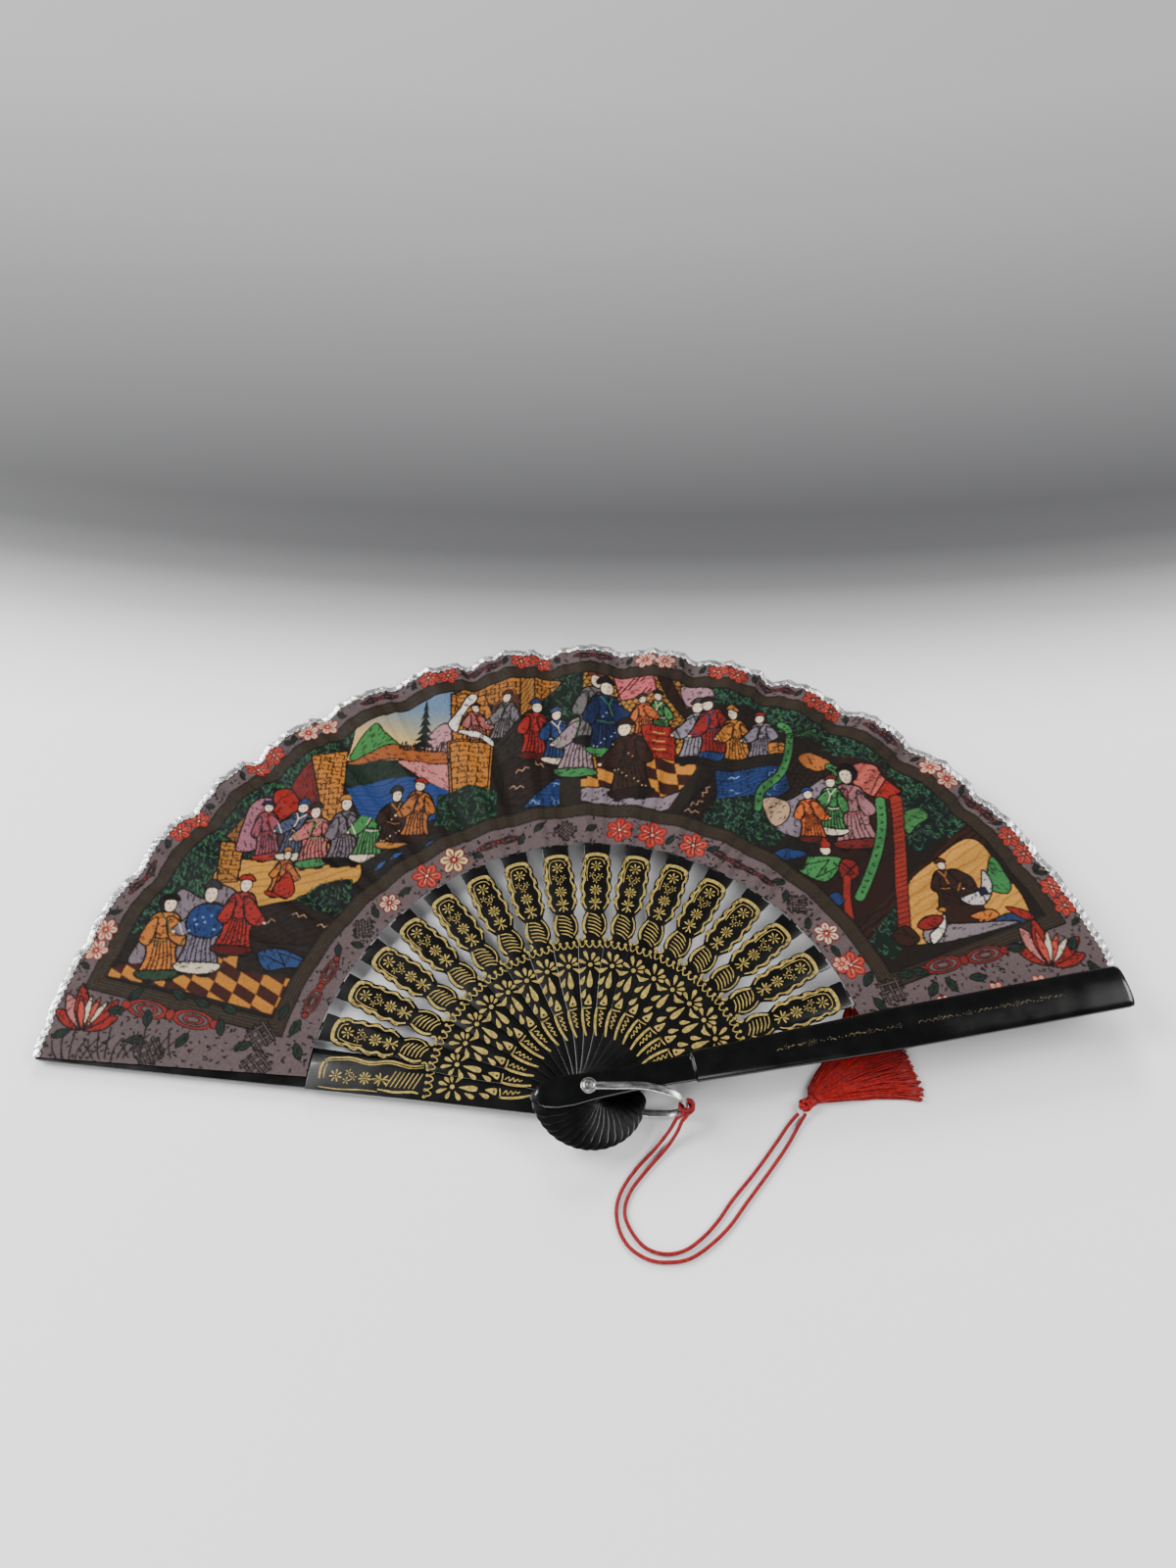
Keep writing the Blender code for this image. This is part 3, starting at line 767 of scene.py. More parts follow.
def figure(x, y, tall, robe, trim, hat, lean=0.0, facing=1, dots=None, hair=False):
    """A robed figure drawn from its hem up, with a plain small face."""
    f = facing
    tall = 1.12 * tall

    def at(points):
        return placed([(px * f, py) for px, py in points], x, y, lean, tall)

    shape(at([(-0.1, 0.03), (-0.13, -0.03), (-0.02, -0.03), (0.0, 0.04)]), INK, 0)
    shape(at([(0.04, 0.03), (0.12, -0.03), (0.18, -0.01), (0.1, 0.05)]), INK, 0)
    gown = [(-0.19, 0.04), (-0.15, 0.3), (-0.2, 0.52), (-0.13, 0.7), (0, 0.75), (0.13, 0.7), (0.19, 0.5),
        (0.15, 0.3)]
    shape(at([*gown, (0.2, 0.04), (0.0, 0.0)]), robe, 0.5)
    shape(at([(-0.2, 0.1), (0.2, 0.1), (0.19, 0.02), (0.0, -0.01), (-0.18, 0.02)]), trim, 0.35)
    for px in (-0.13, -0.08, -0.03, 0.03, 0.08, 0.13):
        stroke(at([(px, 0.1), (px * 0.8 + 0.01, 0.24), (px * 0.5, 0.36 + 1.2 * abs(px))]), 0.36, INK)
    for level, half in ((0.44, 0.13), (0.47, 0.13)):
        stroke(at([(-half, level), (0, level - 0.03), (half, level)]), 0.42, trim if level < 0.45 else INK)
    for px, py in ((-0.08, 0.6), (0.02, 0.56), (0.09, 0.62), (-0.1, 0.5), (0.1, 0.53)):
        stroke(at([(px - 0.03, py), (px, py + 0.03), (px + 0.03, py - 0.01)]), 0.34, INK)
    if dots:
        for i in range(16):
            dx, dy = ((i * 7) % 9 - 4) * 0.036, 0.12 + ((i * 5) % 13) * 0.045
            oval(*at([(dx, dy)])[0], 0.35, 0.35, 0, dots)
    shape(at([(0.02, 0.68), (0.12, 0.66), (0.25, 0.5), (0.3, 0.42), (0.2, 0.36), (0.06, 0.46)]), robe, 0.4)
    stroke(at([(0.26, 0.5), (0.19, 0.37)]), 0.5, trim)
    shape(at([(-0.08, 0.68), (-0.18, 0.6), (-0.24, 0.44), (-0.14, 0.38), (-0.08, 0.52)]), robe, 0.35)
    oval(*at([(0.29, 0.4)])[0], tall * 0.026, tall * 0.02, 0, (222, 196, 168), 0.25)
    stroke(at([(-0.05, 0.73), (0.03, 0.62), (0.06, 0.5)]), 0.55, trim)
    stroke(at([(0.07, 0.72), (0.03, 0.62)]), 0.5, trim)
    cx, cy = at([(0.02, 0.83)])[0]
    if hair:
        oval(*at([(-0.02, 0.87)])[0], tall * 0.095, tall * 0.09, 0, INK)
    oval(cx, cy, tall * 0.066, tall * 0.085, lean, (226, 206, 182), 0.35)
    for ex in (-0.012, 0.042):
        stroke(at([(ex, 0.845), (ex + 0.02, 0.845)]), 0.24, INK)
    stroke(at([(0.02, 0.79), (0.034, 0.79)]), 0.26, RED)
    shape(at([(-0.075, 0.88), (-0.05, 0.95), (0.03, 0.98), (0.09, 0.93), (0.1, 0.885), (0.02, 0.9)]), hat,
        0.35)


def bricks(outline, ground=OCHRE, pitch=3.6):
    """A wall with loosely drawn courses."""
    shape(outline, ground, 0.4, rounded=False)
    points = np.array(outline, float)
    low, high = points.min(0), points.max(0)
    rows, columns = window(points, 0)
    mask = inside(points, rows, columns)
    row = 0
    y = low[1] + 1
    while y < high[1] - 1:
        x = low[0] + (row % 2) * pitch / 2
        while x < high[0] - 1:
            i, j = int((y - UPWARD[rows][0]) * DOTS), int((x + pitch * 0.4 - ACROSS[columns][0]) * DOTS)
            if 0 <= i < mask.shape[0] and 0 <= j < mask.shape[1] and mask[i, j]:
                stroke([(x, y), (x + pitch * 0.72, y + 0.3)], 0.32, INK)
                if (row + int(x)) % 2:
                    stroke([(x + 0.4, y), (x + 0.4, y + pitch * 0.6)], 0.3, INK)
            x += pitch
        y += pitch * 0.62
        row += 1


def tiles(turn, wide, deep, light, dark):
    """A chequered floor pattern."""
    c, s = math.cos(math.radians(turn)), math.sin(math.radians(turn))

    def pattern(x, y):
        u = np.floor((x * c + y * s) / wide)
        v = np.floor((y * c - x * s + 0.35 * x) / deep)
        odd = ((u + v) % 2 == 0)[:, None]
        return np.where(odd, np.array(light, np.float32), np.array(dark, np.float32))

    return pattern


def grain(turn, pitch, light, dark):
    """Boards or cloth with parallel lines."""
    c, s = math.cos(math.radians(turn)), math.sin(math.radians(turn))

    def pattern(x, y):
        across = (y * c - x * s + 0.5 * np.sin(x * 0.35) + 0.3 * np.sin(y * 0.9)) % pitch
        return np.where((across < pitch * 0.24)[:, None], np.array(dark, np.float32),
            np.array(light, np.float32))

    return pattern


def scales(ground, line):
    """Small overlapping rounds, as a tiled screen."""

    def pattern(x, y):
        row = np.floor(y / 2.2)
        u = (x + 1.3 * (row % 2)) % 2.6 - 1.3
        v = y - row * 2.2
        reach = np.hypot(u, v - 0.3)
        return np.where(((reach > 0.95) & (reach < 1.4))[:, None], np.array(line, np.float32),
            np.array(ground, np.float32))

    return pattern


def water(outline):
    shape(outline, BLUE, 0.4, rounded=False, pattern=grain(12, 1.6, BLUE, (30, 56, 106)))
    points = np.array(outline, float)
    centre = points.mean(0)
    for i in range(6):
        start = centre + (points[i % len(points)] - centre) * 0.55
        stroke(placed([(-2.2, -0.5), (-0.8, 0.6), (0.8, -0.3), (2.2, 0.6)], *start, 35 * i), 0.28,
            (150, 176, 206))


def rocks(outline, squiggles):
    shape(outline, EARTH, 0.4, rounded=False, pattern=grain(20, 2.2, (66, 44, 32), (44, 32, 24)))
    for x, y, turn in squiggles:
        stroke(placed([(-3, 0), (-1.6, 1), (-0.4, -0.6), (1.2, 0.8), (2.6, -0.4)], x, y, turn), 0.45,
            (190, 160, 130))
        stroke(placed([(-2, -2), (0, -1.4), (2, -2.4)], x, y, turn), 0.3, INK)


def trunk(points, width, colour=GREEN):
    stroke(points, width + 0.8, INK)
    stroke(points, width, colour)
    line = smooth_line(points, 14)
    for i, (x, y) in enumerate(line[1:-1]):
        stroke(placed([(-0.7, 0.4), (0, -0.5), (0.7, 0.4)], x, y, 40 * i), 0.3, INK)


def paint_left(rng):
    """Court with robed figures before a terrace, under a red roof and an ochre tower."""
    fill([(-186, 42), (-110, 24), (-84, 66), (-104, 96), (-134, 84), (-172, 60)], EARTH,
        grain(-12, 2.4, EARTH, (42, 32, 26)))
    shape([(-172, 49), (-163, 68), (-158, 80), (-148, 76), (-140, 84), (-134, 78), (-131, 62), (-150, 50)],
        (142, 128, 136))
    fill([(-174, 48), (-130, 54), (-106, 44), (-104, 26), (-150, 38), (-182, 44)], None,
        tiles(-14, 8.5, 4.6, (200, 142, 44), (96, 46, 28)))
    fill([(-131, 58), (-100, 60), (-92, 52), (-106, 42), (-131, 46)], EARTH, grain(-10, 2.0, (64, 52, 40),
        (46, 36, 28)))
    rocks([(-132, 72), (-108, 74), (-88, 68), (-98, 56), (-130, 58)], [(-122, 66, 10), (-110, 68, -8),
        (-100, 64, 0)])
    shape([(-124, 53), (-116, 55), (-108, 52), (-104, 48), (-112, 47), (-120, 46)], (58, 92, 140))
    stroke([(-121, 52), (-113, 48), (-116, 53), (-107, 50)], 0.35, INK)
    shape([(-146, 84), (-138, 92), (-120, 94), (-98, 101), (-90, 92), (-91, 82), (-110, 76), (-128, 72),
        (-137, 79)], None, 0.4, pattern=grain(18, 3.2, GOLD_GROUND, (188, 138, 46)))
    foliage(rng, [(-113, 76), (-104, 82), (-92, 84), (-88, 70), (-96, 68), (-108, 72)], 70, (26, 40, 32))
    bricks([(-146, 101), (-137, 101), (-136, 82), (-144, 82)], (186, 132, 48))
    bricks([(-145, 104), (-133, 118), (-126, 106), (-140, 100)], (160, 112, 44))
    shape([(-136, 116), (-128, 120), (-122, 104), (-132, 98), (-140, 98)], (176, 118, 134))
    shape([(-123, 124), (-114, 138), (-106, 128), (-102, 112), (-108, 110), (-116, 116)], (150, 44, 38))
    shape([(-126, 112), (-128, 124), (-122, 126), (-116, 116), (-120, 110)], RED)
    shape([(-121, 112), (-112, 112), (-105, 104), (-105, 92), (-122, 96)], (108, 70, 66))
    bricks([(-115, 140), (-101, 145), (-99, 112), (-107, 110), (-111, 126)], (204, 140, 44))
    figure(-127, 93, 24, (170, 92, 110), RED, (60, 72, 110), 6)
    figure(-117, 92, 27, (96, 104, 132), CREAM, BLUE, -4, -1)
    figure(-108, 89, 28, (196, 122, 116), GREEN, (72, 44, 30), 4, -1, dots=(140, 40, 40))
    figure(-120, 76, 20, (196, 128, 48), RED, (196, 128, 48), -3, 1)
    shape([(-122, 79), (-118, 88), (-114, 80), (-116, 76)], RED, 0.3)
    figure(-97, 90, 29, (134, 122, 130), INK, OCHRE, 3, 1, dots=INK)
    figure(-88, 92, 28, (84, 156, 92), CREAM, (60, 50, 48), -4, -1)
    figure(-160, 42, 33, (204, 134, 44), (64, 96, 70), INK, 2, 1, dots=(120, 60, 24), hair=True)
    figure(-146, 45, 35, (140, 130, 146), CREAM, (70, 70, 76), -2, -1)
    shape([(-153, 66), (-150, 73), (-141, 73), (-138, 66), (-142, 59), (-150, 60)], BLUE, 0.45)
    for i in range(9):
        oval(-151 + (i * 5) % 13, 61.5 + (i * 4) % 9, 0.6, 0.6, 0, (120, 150, 196))
    figure(-134, 52, 31, (182, 52, 40), (120, 30, 26), RED, -2, 1)


def paint_landscape(rng):
    """Sky, hills and a bay seen between two towers."""
    sky = [(-101, 140), (-97, 162), (-70, 178), (-56, 176), (-56, 136)]

    def dusk(x, y):
        share = np.clip((y + 0.25 * x - 128) / 20, 0, 1)[:, None]
        return np.array((216, 186, 124), np.float32) * (1 - share) + np.array((120, 146, 172),
            np.float32) * share

    fill(sky, None, dusk)
    shape([(-72, 144), (-64, 156), (-56, 154), (-56, 142)], (196, 148, 152), 0.3)
    shape([(-100, 141), (-91, 156), (-86, 152), (-78, 144), (-84, 140)], (84, 158, 86), 0.35)
    shape([(-101, 138), (-86, 145), (-74, 146), (-57, 142), (-57, 136), (-82, 139)], (184, 112, 46), 0.35)
    fill([(-100, 138), (-90, 139), (-80, 137), (-70, 127), (-80, 124), (-100, 127)], (44, 74, 56))
    for _ in range(44):
        x, y = rng.uniform(-98, -76), rng.uniform(127, 137)
        stroke([(x, y), (x + 0.2, y + 1.6)], 0.3, (22, 40, 32))
    shape([(-79, 138), (-58, 137), (-57, 125), (-67, 129), (-72, 132)], (206, 138, 134), 0.35)
    fill([(-99, 125), (-86, 130), (-70, 130), (-57, 125), (-57, 112), (-70, 108), (-92, 112)], None,
        grain(8, 1.8, (54, 92, 152), (40, 72, 128)))
    for level in range(6):
        y = 146 + 3.6 * level
        half = 4.6 - 0.7 * level
        shape([(-70 - half, y), (-70, y + 5.4), (-70 + half, y), (-70, y + 1)], (38, 46, 42), 0,
            rounded=False)
    for _ in range(50):
        x = rng.uniform(-80, -58)
        stroke([(x, 144), (x + rng.uniform(-1, 1), 144 + rng.uniform(1.5, 4.5))], 0.35, (44, 46, 36))
    figure(-78, 97, 27, (82, 52, 40), OCHRE, (70, 60, 56), 2, 1, dots=CREAM)
    figure(-70, 101, 27, (190, 122, 50), (70, 40, 28), RED, -3, -1, dots=(110, 50, 30))
    fill([(-90, 92), (-72, 100), (-56, 106), (-50, 98), (-66, 92), (-84, 78)], None,
        grain(28, 1.7, (58, 50, 42), (40, 34, 30)))
    for x, y in ((-82, 90), (-76, 94), (-64, 99)):
        shape(placed([(-3, 0), (0, 1.1), (3.4, 0.4), (0, -1)], x, y, 38), (66, 104, 160), 0.3)


def paint_towers(rng):
    """Brick pavilion with a white curtain, its neighbour, and a dark roof."""
    bricks([(-60, 172), (-50, 178), (-28, 186), (-14, 181), (-12, 170), (-28, 150), (-38, 156), (-42, 168)],
        (192, 132, 46))
    bricks([(-60, 172), (-46, 174), (-41, 160), (-41, 124), (-57, 120), (-58, 148)], (200, 138, 46), 4.0)
    fill([(-42, 168), (-31, 172), (-30, 150), (-44, 146)], (112, 68, 44))
    figure(-47, 146, 22, (184, 118, 110), (140, 40, 36), (70, 40, 34), 8, 1)
    figure(-38, 148, 24, (132, 124, 128), INK, (120, 40, 34), -6, -1, dots=INK)
    shape([(-60, 148), (-41, 150), (-41, 124), (-57, 120)], None, 0.4, rounded=False,
        pattern=grain(0, 3.0, (200, 138, 46), (170, 112, 40)))
    bricks([(-59, 147), (-42, 149), (-42, 126), (-56, 122)], (200, 138, 46), 4.0)
    shape([(-58, 160), (-52, 174), (-49, 172), (-54, 162), (-56, 152), (-60, 156)], (222, 214, 202))
    shape([(-56, 152), (-46, 150), (-41, 147), (-42, 151), (-50, 154)], (222, 214, 202), 0.35)
    shape([(-31, 185), (-25, 185), (-24, 158), (-30, 156)], None, 0.4, rounded=False,
        pattern=grain(60, 1.6, (184, 134, 60), (110, 74, 34)))
    fill([(-40, 148), (-12, 182), (-6, 182), (-14, 160), (-30, 140), (-40, 128)], None,
        grain(50, 2.2, (62, 54, 40), (40, 34, 26)))
    foliage(rng, [(-26, 164), (-10, 182), (4, 184), (6, 160), (-18, 152)], 130, (30, 52, 42))
    foliage(rng, [(-62, 122), (-50, 127), (-38, 124), (-36, 108), (-50, 104), (-62, 108)], 120,
        (38, 62, 46))
    fill([(-38, 140), (-26, 142), (-27, 118), (-38, 118)], (52, 42, 32))
    rocks([(-36, 140), (-16, 140), (-14, 130), (-26, 118), (-36, 118)], [(-28, 134, 20), (-30, 126, 0),
        (-22, 137, -20)])
    water([(-28, 116), (-12, 134), (-10, 120), (-14, 117)])


def paint_hall():
    """Hall with a chequered floor, a red table and a row of guests."""
    fill([(-4, 188), (40, 182), (40, 140), (-4, 140)], None, scales((188, 140, 58), (64, 44, 26)))
    shape([(-2, 188), (8, 188), (8, 184), (-2, 184)], (196, 184, 160), 0.35, rounded=False)
    shape([(8, 186), (26, 182), (27, 174), (22, 171), (12, 171)], (206, 112, 118), rounded=False)
    for i in range(26):
        x, y = 10 + (i * 5.3) % 15, 172.5 + (i * 3.7) % 10
        stroke([(x, y), (x + 0.5, y + 0.5)], 0.6, INK)
    shape([(27, 182), (33, 181), (40, 166), (40, 160), (32, 170)], (74, 48, 38), rounded=False)
    shape([(38, 178), (50, 176), (50, 168), (40, 168)], (180, 140, 150), 0.35)
    fill([(-6, 122), (30, 120), (46, 134), (44, 146), (-4, 146)], None, tiles(6, 8.0, 5.4, (206, 146, 44),
        (88, 44, 26)))
    shape([(-6, 124), (8, 126), (22, 121), (38, 124), (28, 115), (-4, 119)], (152, 138, 146), 0.35)
    fill([(-13, 146), (-5, 146), (-4, 117), (-13, 118)], (64, 54, 42))
    fill([(28, 112), (34, 112), (52, 140), (46, 140)], (60, 50, 38))
    figure(-23, 139, 29, (182, 48, 38), (120, 28, 26), (50, 74, 122), 2, 1)
    figure(-14, 138, 27, (52, 84, 138), CREAM, (80, 100, 140), 4, 1)
    figure(-7, 131, 35, (164, 142, 148), GREEN, (70, 60, 50), -6, -1)
    figure(1, 146, 36, (128, 122, 122), INK, (150, 80, 34), 0, 1)
    figure(7, 141, 38, (38, 62, 112), GREEN, (44, 38, 44), 3, 1, dots=(196, 206, 220))
    figure(28, 150, 22, (90, 158, 92), CREAM, (50, 46, 48), 0, -1)
    figure(22, 150, 21, (206, 122, 48), RED, (96, 60, 34), 4, 1)
    shape([(20, 156), (35, 156), (34, 140), (22, 140)], RED, rounded=False)
    for level in (143, 147, 151):
        stroke([(22, level), (33, level)], 0.4, (110, 26, 22))
        stroke([(25, level + 1.6), (30, level + 1.6)], 0.6, (214, 180, 90))
    figure(16, 121, 37, (84, 52, 34), (60, 36, 26), (70, 44, 30), 3, -1, dots=(206, 190, 150))
    figure(42, 137, 32, (150, 144, 152), INK, (90, 84, 90), -6, -1)
    figure(51, 139, 30, (168, 48, 42), BLUE, (70, 40, 34), 4, -1)
    figure(60, 137, 27, (204, 140, 46), (96, 66, 30), OCHRE, 2, -1, dots=(110, 60, 24))
    figure(69, 138, 25, (140, 130, 142), INK, (150, 50, 40), -4, -1, dots=INK)
    bricks([(72, 148), (80, 146), (79, 138), (72, 137)], (196, 134, 44))
    fill([(44, 138), (78, 142), (80, 136), (50, 133)], None, grain(4, 1.8, (62, 52, 40), (42, 34, 28)))


def paint_garden(rng):
    """Pond, bushes and figures by a parasol under green trees."""
    water([(50, 134), (78, 136), (80, 126), (74, 121), (50, 121)])
    rocks([(34, 112), (50, 132), (50, 118), (42, 110)], [(42, 118, 30), (46, 124, 60), (40, 114, 0)])
    foliage(rng, [(44, 112), (50, 120), (62, 121), (72, 118), (78, 106), (72, 98), (56, 100), (46, 104)],
        210, (32, 56, 46))
    fill([(78, 142), (92, 144), (100, 134), (98, 128), (82, 122)], None, scales((70, 52, 36), (34, 26, 22)))
    shape([(84, 140), (90, 144), (97, 138), (92, 134)], (190, 122, 48), 0.35)
    shape([(70, 120), (80, 121), (98, 132), (99, 116), (84, 102), (73, 106)], (146, 132, 142), 0.35)
    shape([(68, 120), (78, 120), (78, 112), (72, 108)], (190, 162, 132), 0.3)
    trunk(smooth_line([(66, 116), (68, 124), (76, 132), (80, 142), (81, 152), (78, 156)], 18), 3.0)
    trunk(smooth_line([(81, 150), (86, 152), (92, 154)], 8), 1.6)
    trunk(smooth_line([(96, 136), (99, 132), (98, 124)], 8), 2.6)
    fill([(100, 140), (118, 138), (122, 120), (122, 96), (100, 96)], (78, 44, 34))
    fill([(76, 84), (96, 100), (126, 110), (110, 70), (92, 62)], (72, 42, 32))
    foliage(rng, [(118, 116), (124, 124), (140, 118), (144, 108), (128, 96), (120, 100)], 150, (30, 54, 46))
    shape([(122, 112), (130, 116), (133, 112), (128, 108), (124, 104)], (88, 150, 90), 0.3)
    shape([(105, 128), (106, 136), (114, 137), (119, 131), (124, 124), (118, 121), (110, 124)],
        (206, 112, 100))
    shape([(113, 122), (119, 131), (124, 124), (119, 120)], RED, rounded=False)
    stroke([(112, 124), (116, 132)], 0.3, INK)
    figure(104, 97, 36, (172, 124, 128), (140, 50, 46), INK, 2, -1, hair=True)
    figure(95, 104, 25, (88, 158, 96), CREAM, (140, 50, 40), -3, -1)
    figure(87, 100, 24, (208, 116, 40), (120, 50, 30), BLUE, 3, 1, dots=(120, 44, 24))
    trunk(smooth_line([(115, 120), (114, 108), (111, 96), (106, 84), (102, 76)], 18), 3.6)
    shape([(78, 90), (82, 94), (96, 93), (94, 86), (88, 82)], (84, 154, 92))
    stroke([(80, 90), (92, 92), (86, 84), (94, 88)], 0.35, INK)
    oval(91, 97, 2.0, 2.6, 10, (226, 206, 182), 0.35)
    shape([(89, 99), (91, 103), (93.5, 99), (91, 98)], RED, 0.3)
    shape([(95, 88), (97, 92), (102, 91), (103, 86), (99, 83), (96, 84)], (160, 46, 36))
    stroke([(97, 90), (101, 86), (97, 85), (102, 90)], 0.35, INK)
    stroke([(98, 84), (97, 76), (97, 66)], 3.4, INK)
    stroke([(98, 84), (97, 76), (97, 66)], 2.8, (170, 56, 42))
    fill([(66, 98), (86, 100), (82, 88), (70, 88)], (52, 42, 34))
    shape([(70, 94), (76, 97), (84, 95), (76, 92)], BLUE, 0.3)
    shape([(90, 76), (94, 78), (96, 74), (92, 72)], BLUE, 0.3)


def paint_interior(rng):
    """Sloping roof beams, a red pillar and an ochre room."""
    beams = [(96, 60), (148, 110), (158, 104), (118, 60), (104, 52)]
    fill(beams, None, grain(42, 2.6, (84, 50, 36), (46, 30, 24)))
    foliage(rng, [(100, 52), (114, 72), (118, 60), (112, 50)], 50, (34, 60, 48))
    shape([(119, 60), (120, 80), (132, 92), (147, 102), (156, 92), (164, 74), (160, 66), (124, 56)], None,
        0.4, pattern=grain(40, 3.4, (212, 162, 70), (194, 144, 56)))
    shape([(152, 88), (155, 94), (160, 84), (158, 78), (152, 80)], GREEN, 0.35)
    shape([(133, 82), (138, 88), (146, 84), (146, 74), (134, 74)], (84, 52, 38))
    figure(136, 70, 21, (88, 54, 38), OCHRE, (120, 60, 30), 6, 1)
    shape([(140, 76), (148, 80), (150, 88), (153, 83), (151, 76), (146, 72)], (196, 190, 188))
    for i in range(9):
        oval(143 + (i * 3) % 9, 74.5 + (i * 5) % 8, 0.4, 0.4, 0, INK)
    shape([(147, 80), (150, 81), (151, 78), (148, 77)], (36, 52, 84), 0.3, rounded=False)
    fill([(132, 64), (150, 66), (148, 73), (134, 73)], (80, 48, 34))
    shape([(142, 68), (150, 71), (153, 68), (148, 66)], (206, 132, 44))
    stroke([(146, 67), (145, 62), (149, 67)], 1.0, (190, 120, 44))
    shape([(150, 65), (156, 69), (163, 68), (160, 64)], (58, 84, 130), 0.35)
    shape([(156, 72), (164, 70), (166, 66), (160, 68)], RED, 0.3)
    shape([(124, 57), (126, 64), (142, 65), (160, 66), (150, 62), (132, 57)], (150, 138, 142), 0.35)
    shape([(127, 56), (132, 62), (133, 70), (130, 64), (126, 60)], (220, 212, 196))
    shape([(122, 64), (126, 68), (132, 68), (130, 64), (125, 62)], (164, 48, 40))
    column = [(121, 120), (120, 96), (118, 80), (117, 62)]
    stroke(column, 5.2, INK)
    stroke(column, 4.4, (172, 62, 44))
    for i in range(26):
        y = 62 + 2.2 * i
        x = 117 + 4 * (y - 62) / 58
        stroke([(x - 2, y), (x + 2, y + 1.4)], 0.3, (90, 28, 24))
    shape([(112, 60), (118, 64), (122, 58), (116, 55)], (84, 50, 34), 0.35)


def paint_picture():
    rng = random.Random(11)
    leafy = []
    for i in range(150):
        bearing = 161 - 125 * i / 149
        depth = 7.5 + 3.0 * math.sin(i * 0.55) + 2.5 * math.sin(i * 0.21 + 1)
        leafy.append(polar(182.5 - max(1.0, depth), bearing))
    band = [polar(183.5, 161 - 125 * i / 60) for i in range(61)]
    foliage(rng, [*band, *reversed(leafy)], 2100)
    foliage(rng, [polar(r, b) for r, b in ((183, 160), (183, 139), (160, 140), (150, 147), (158, 153),
        (171, 157))], 520)
    paint_left(rng)
    paint_landscape(rng)
    paint_towers(rng)
    paint_hall()
    paint_garden(rng)
    paint_interior(rng)


FRAME_LEFT, FRAME_RIGHT = 166.6, 22.0
FRAME_WIDE = 5.6
PICTURE_IN, PICTURE_OUT = 118.0, 183.5


def paint_frame():
    """The brown fillet round the picture, and the mauve border outside it."""
    left = np.radians(FRAME_LEFT - BEARING) * RADIUS
    right = np.radians(BEARING - FRAME_RIGHT) * RADIUS
    depth = np.minimum(np.minimum(RADIUS - PICTURE_IN, PICTURE_OUT - RADIUS), np.minimum(left, right))
    border = depth < -FRAME_WIDE
    fillet = (depth < 0) & ~border
    grooves = (np.sin(depth * 5.2) > 0.55) & fillet
    CANVAS[fillet] = FRAME_BROWN
    CANVAS[grooves] = (62, 52, 40)
    CANVAS[border] = MAUVE
    CANVAS[np.abs(depth + FRAME_WIDE) < 0.28] = INK
    CANVAS[np.abs(depth) < 0.25] = INK


def paint_border():
    rng = random.Random(5)

    def on_border(radius, bearing):
        side = min(math.radians(FRAME_LEFT - bearing) * radius,
            math.radians(bearing - FRAME_RIGHT) * radius)
        return min(radius - PICTURE_IN, PICTURE_OUT - radius, side) < -FRAME_WIDE - 0.8

    specks(rng, on_border, 9000, (-198, 8, 198, 198))
    outer = (LEAF_OUTER + PICTURE_OUT + FRAME_WIDE) / 2
    for i, bearing in enumerate((162.5, 146, 134, 126.5, 110, 98, 82, 72.5, 60, 43.5, 31, 23.5)):
        petal, heart = ((206, 84, 64), (140, 34, 28)) if i % 3 else (CREAM, RED)
        for shift in (-1.25, 1.25):
            blossom(*polar(outer - 0.8, bearing + shift), 4.1, petal, heart, 6, 30 * i)
        for shift in (-3.4, 3.3):
            little_leaf(*polar(outer - 0.6, bearing + shift), 1.9, bearing + 90 + 20 * shift)
    for bearing in (154, 118, 104, 90, 66, 52, 37):
        ribbon(*polar(outer - 0.8, bearing), 15, bearing - 90, (150, 56, 56))
    inner = (LEAF_INNER + PICTURE_IN - FRAME_WIDE) / 2 + 0.3
    for bearing, petal, size in (
        (136, CREAM, 3.8),
        (126.5, (204, 90, 70), 5.2),
        (120, (216, 202, 150), 5.2),
        (84, (196, 66, 50), 5.0),
        (77, (200, 76, 58), 5.4),
        (68, (204, 90, 70), 5.2),
        (34.5, CREAM, 4.4),
        (26.5, (204, 90, 70), 5.2),
    ):
        blossom(*polar(inner, bearing), size, petal, (150, 38, 30), 6, bearing)
    for bearing, length in ((158, 24), (110, 16), (60, 15), (53, 13)):
        ribbon(*polar(inner, bearing), length, bearing - 90, (158, 62, 54))
    for bearing in (143.5, 95.5, 43):
        knot_motif(*polar(inner, bearing), 2.3, bearing + 45)
    for bearing in (150, 147, 139.5, 132, 115, 105, 101, 90, 73, 64, 49, 46, 38.5, 30.5):
        little_leaf(*polar(inner + rng.uniform(-3, 3), bearing), 2.3, rng.uniform(0, 360))
    paint_wedges()


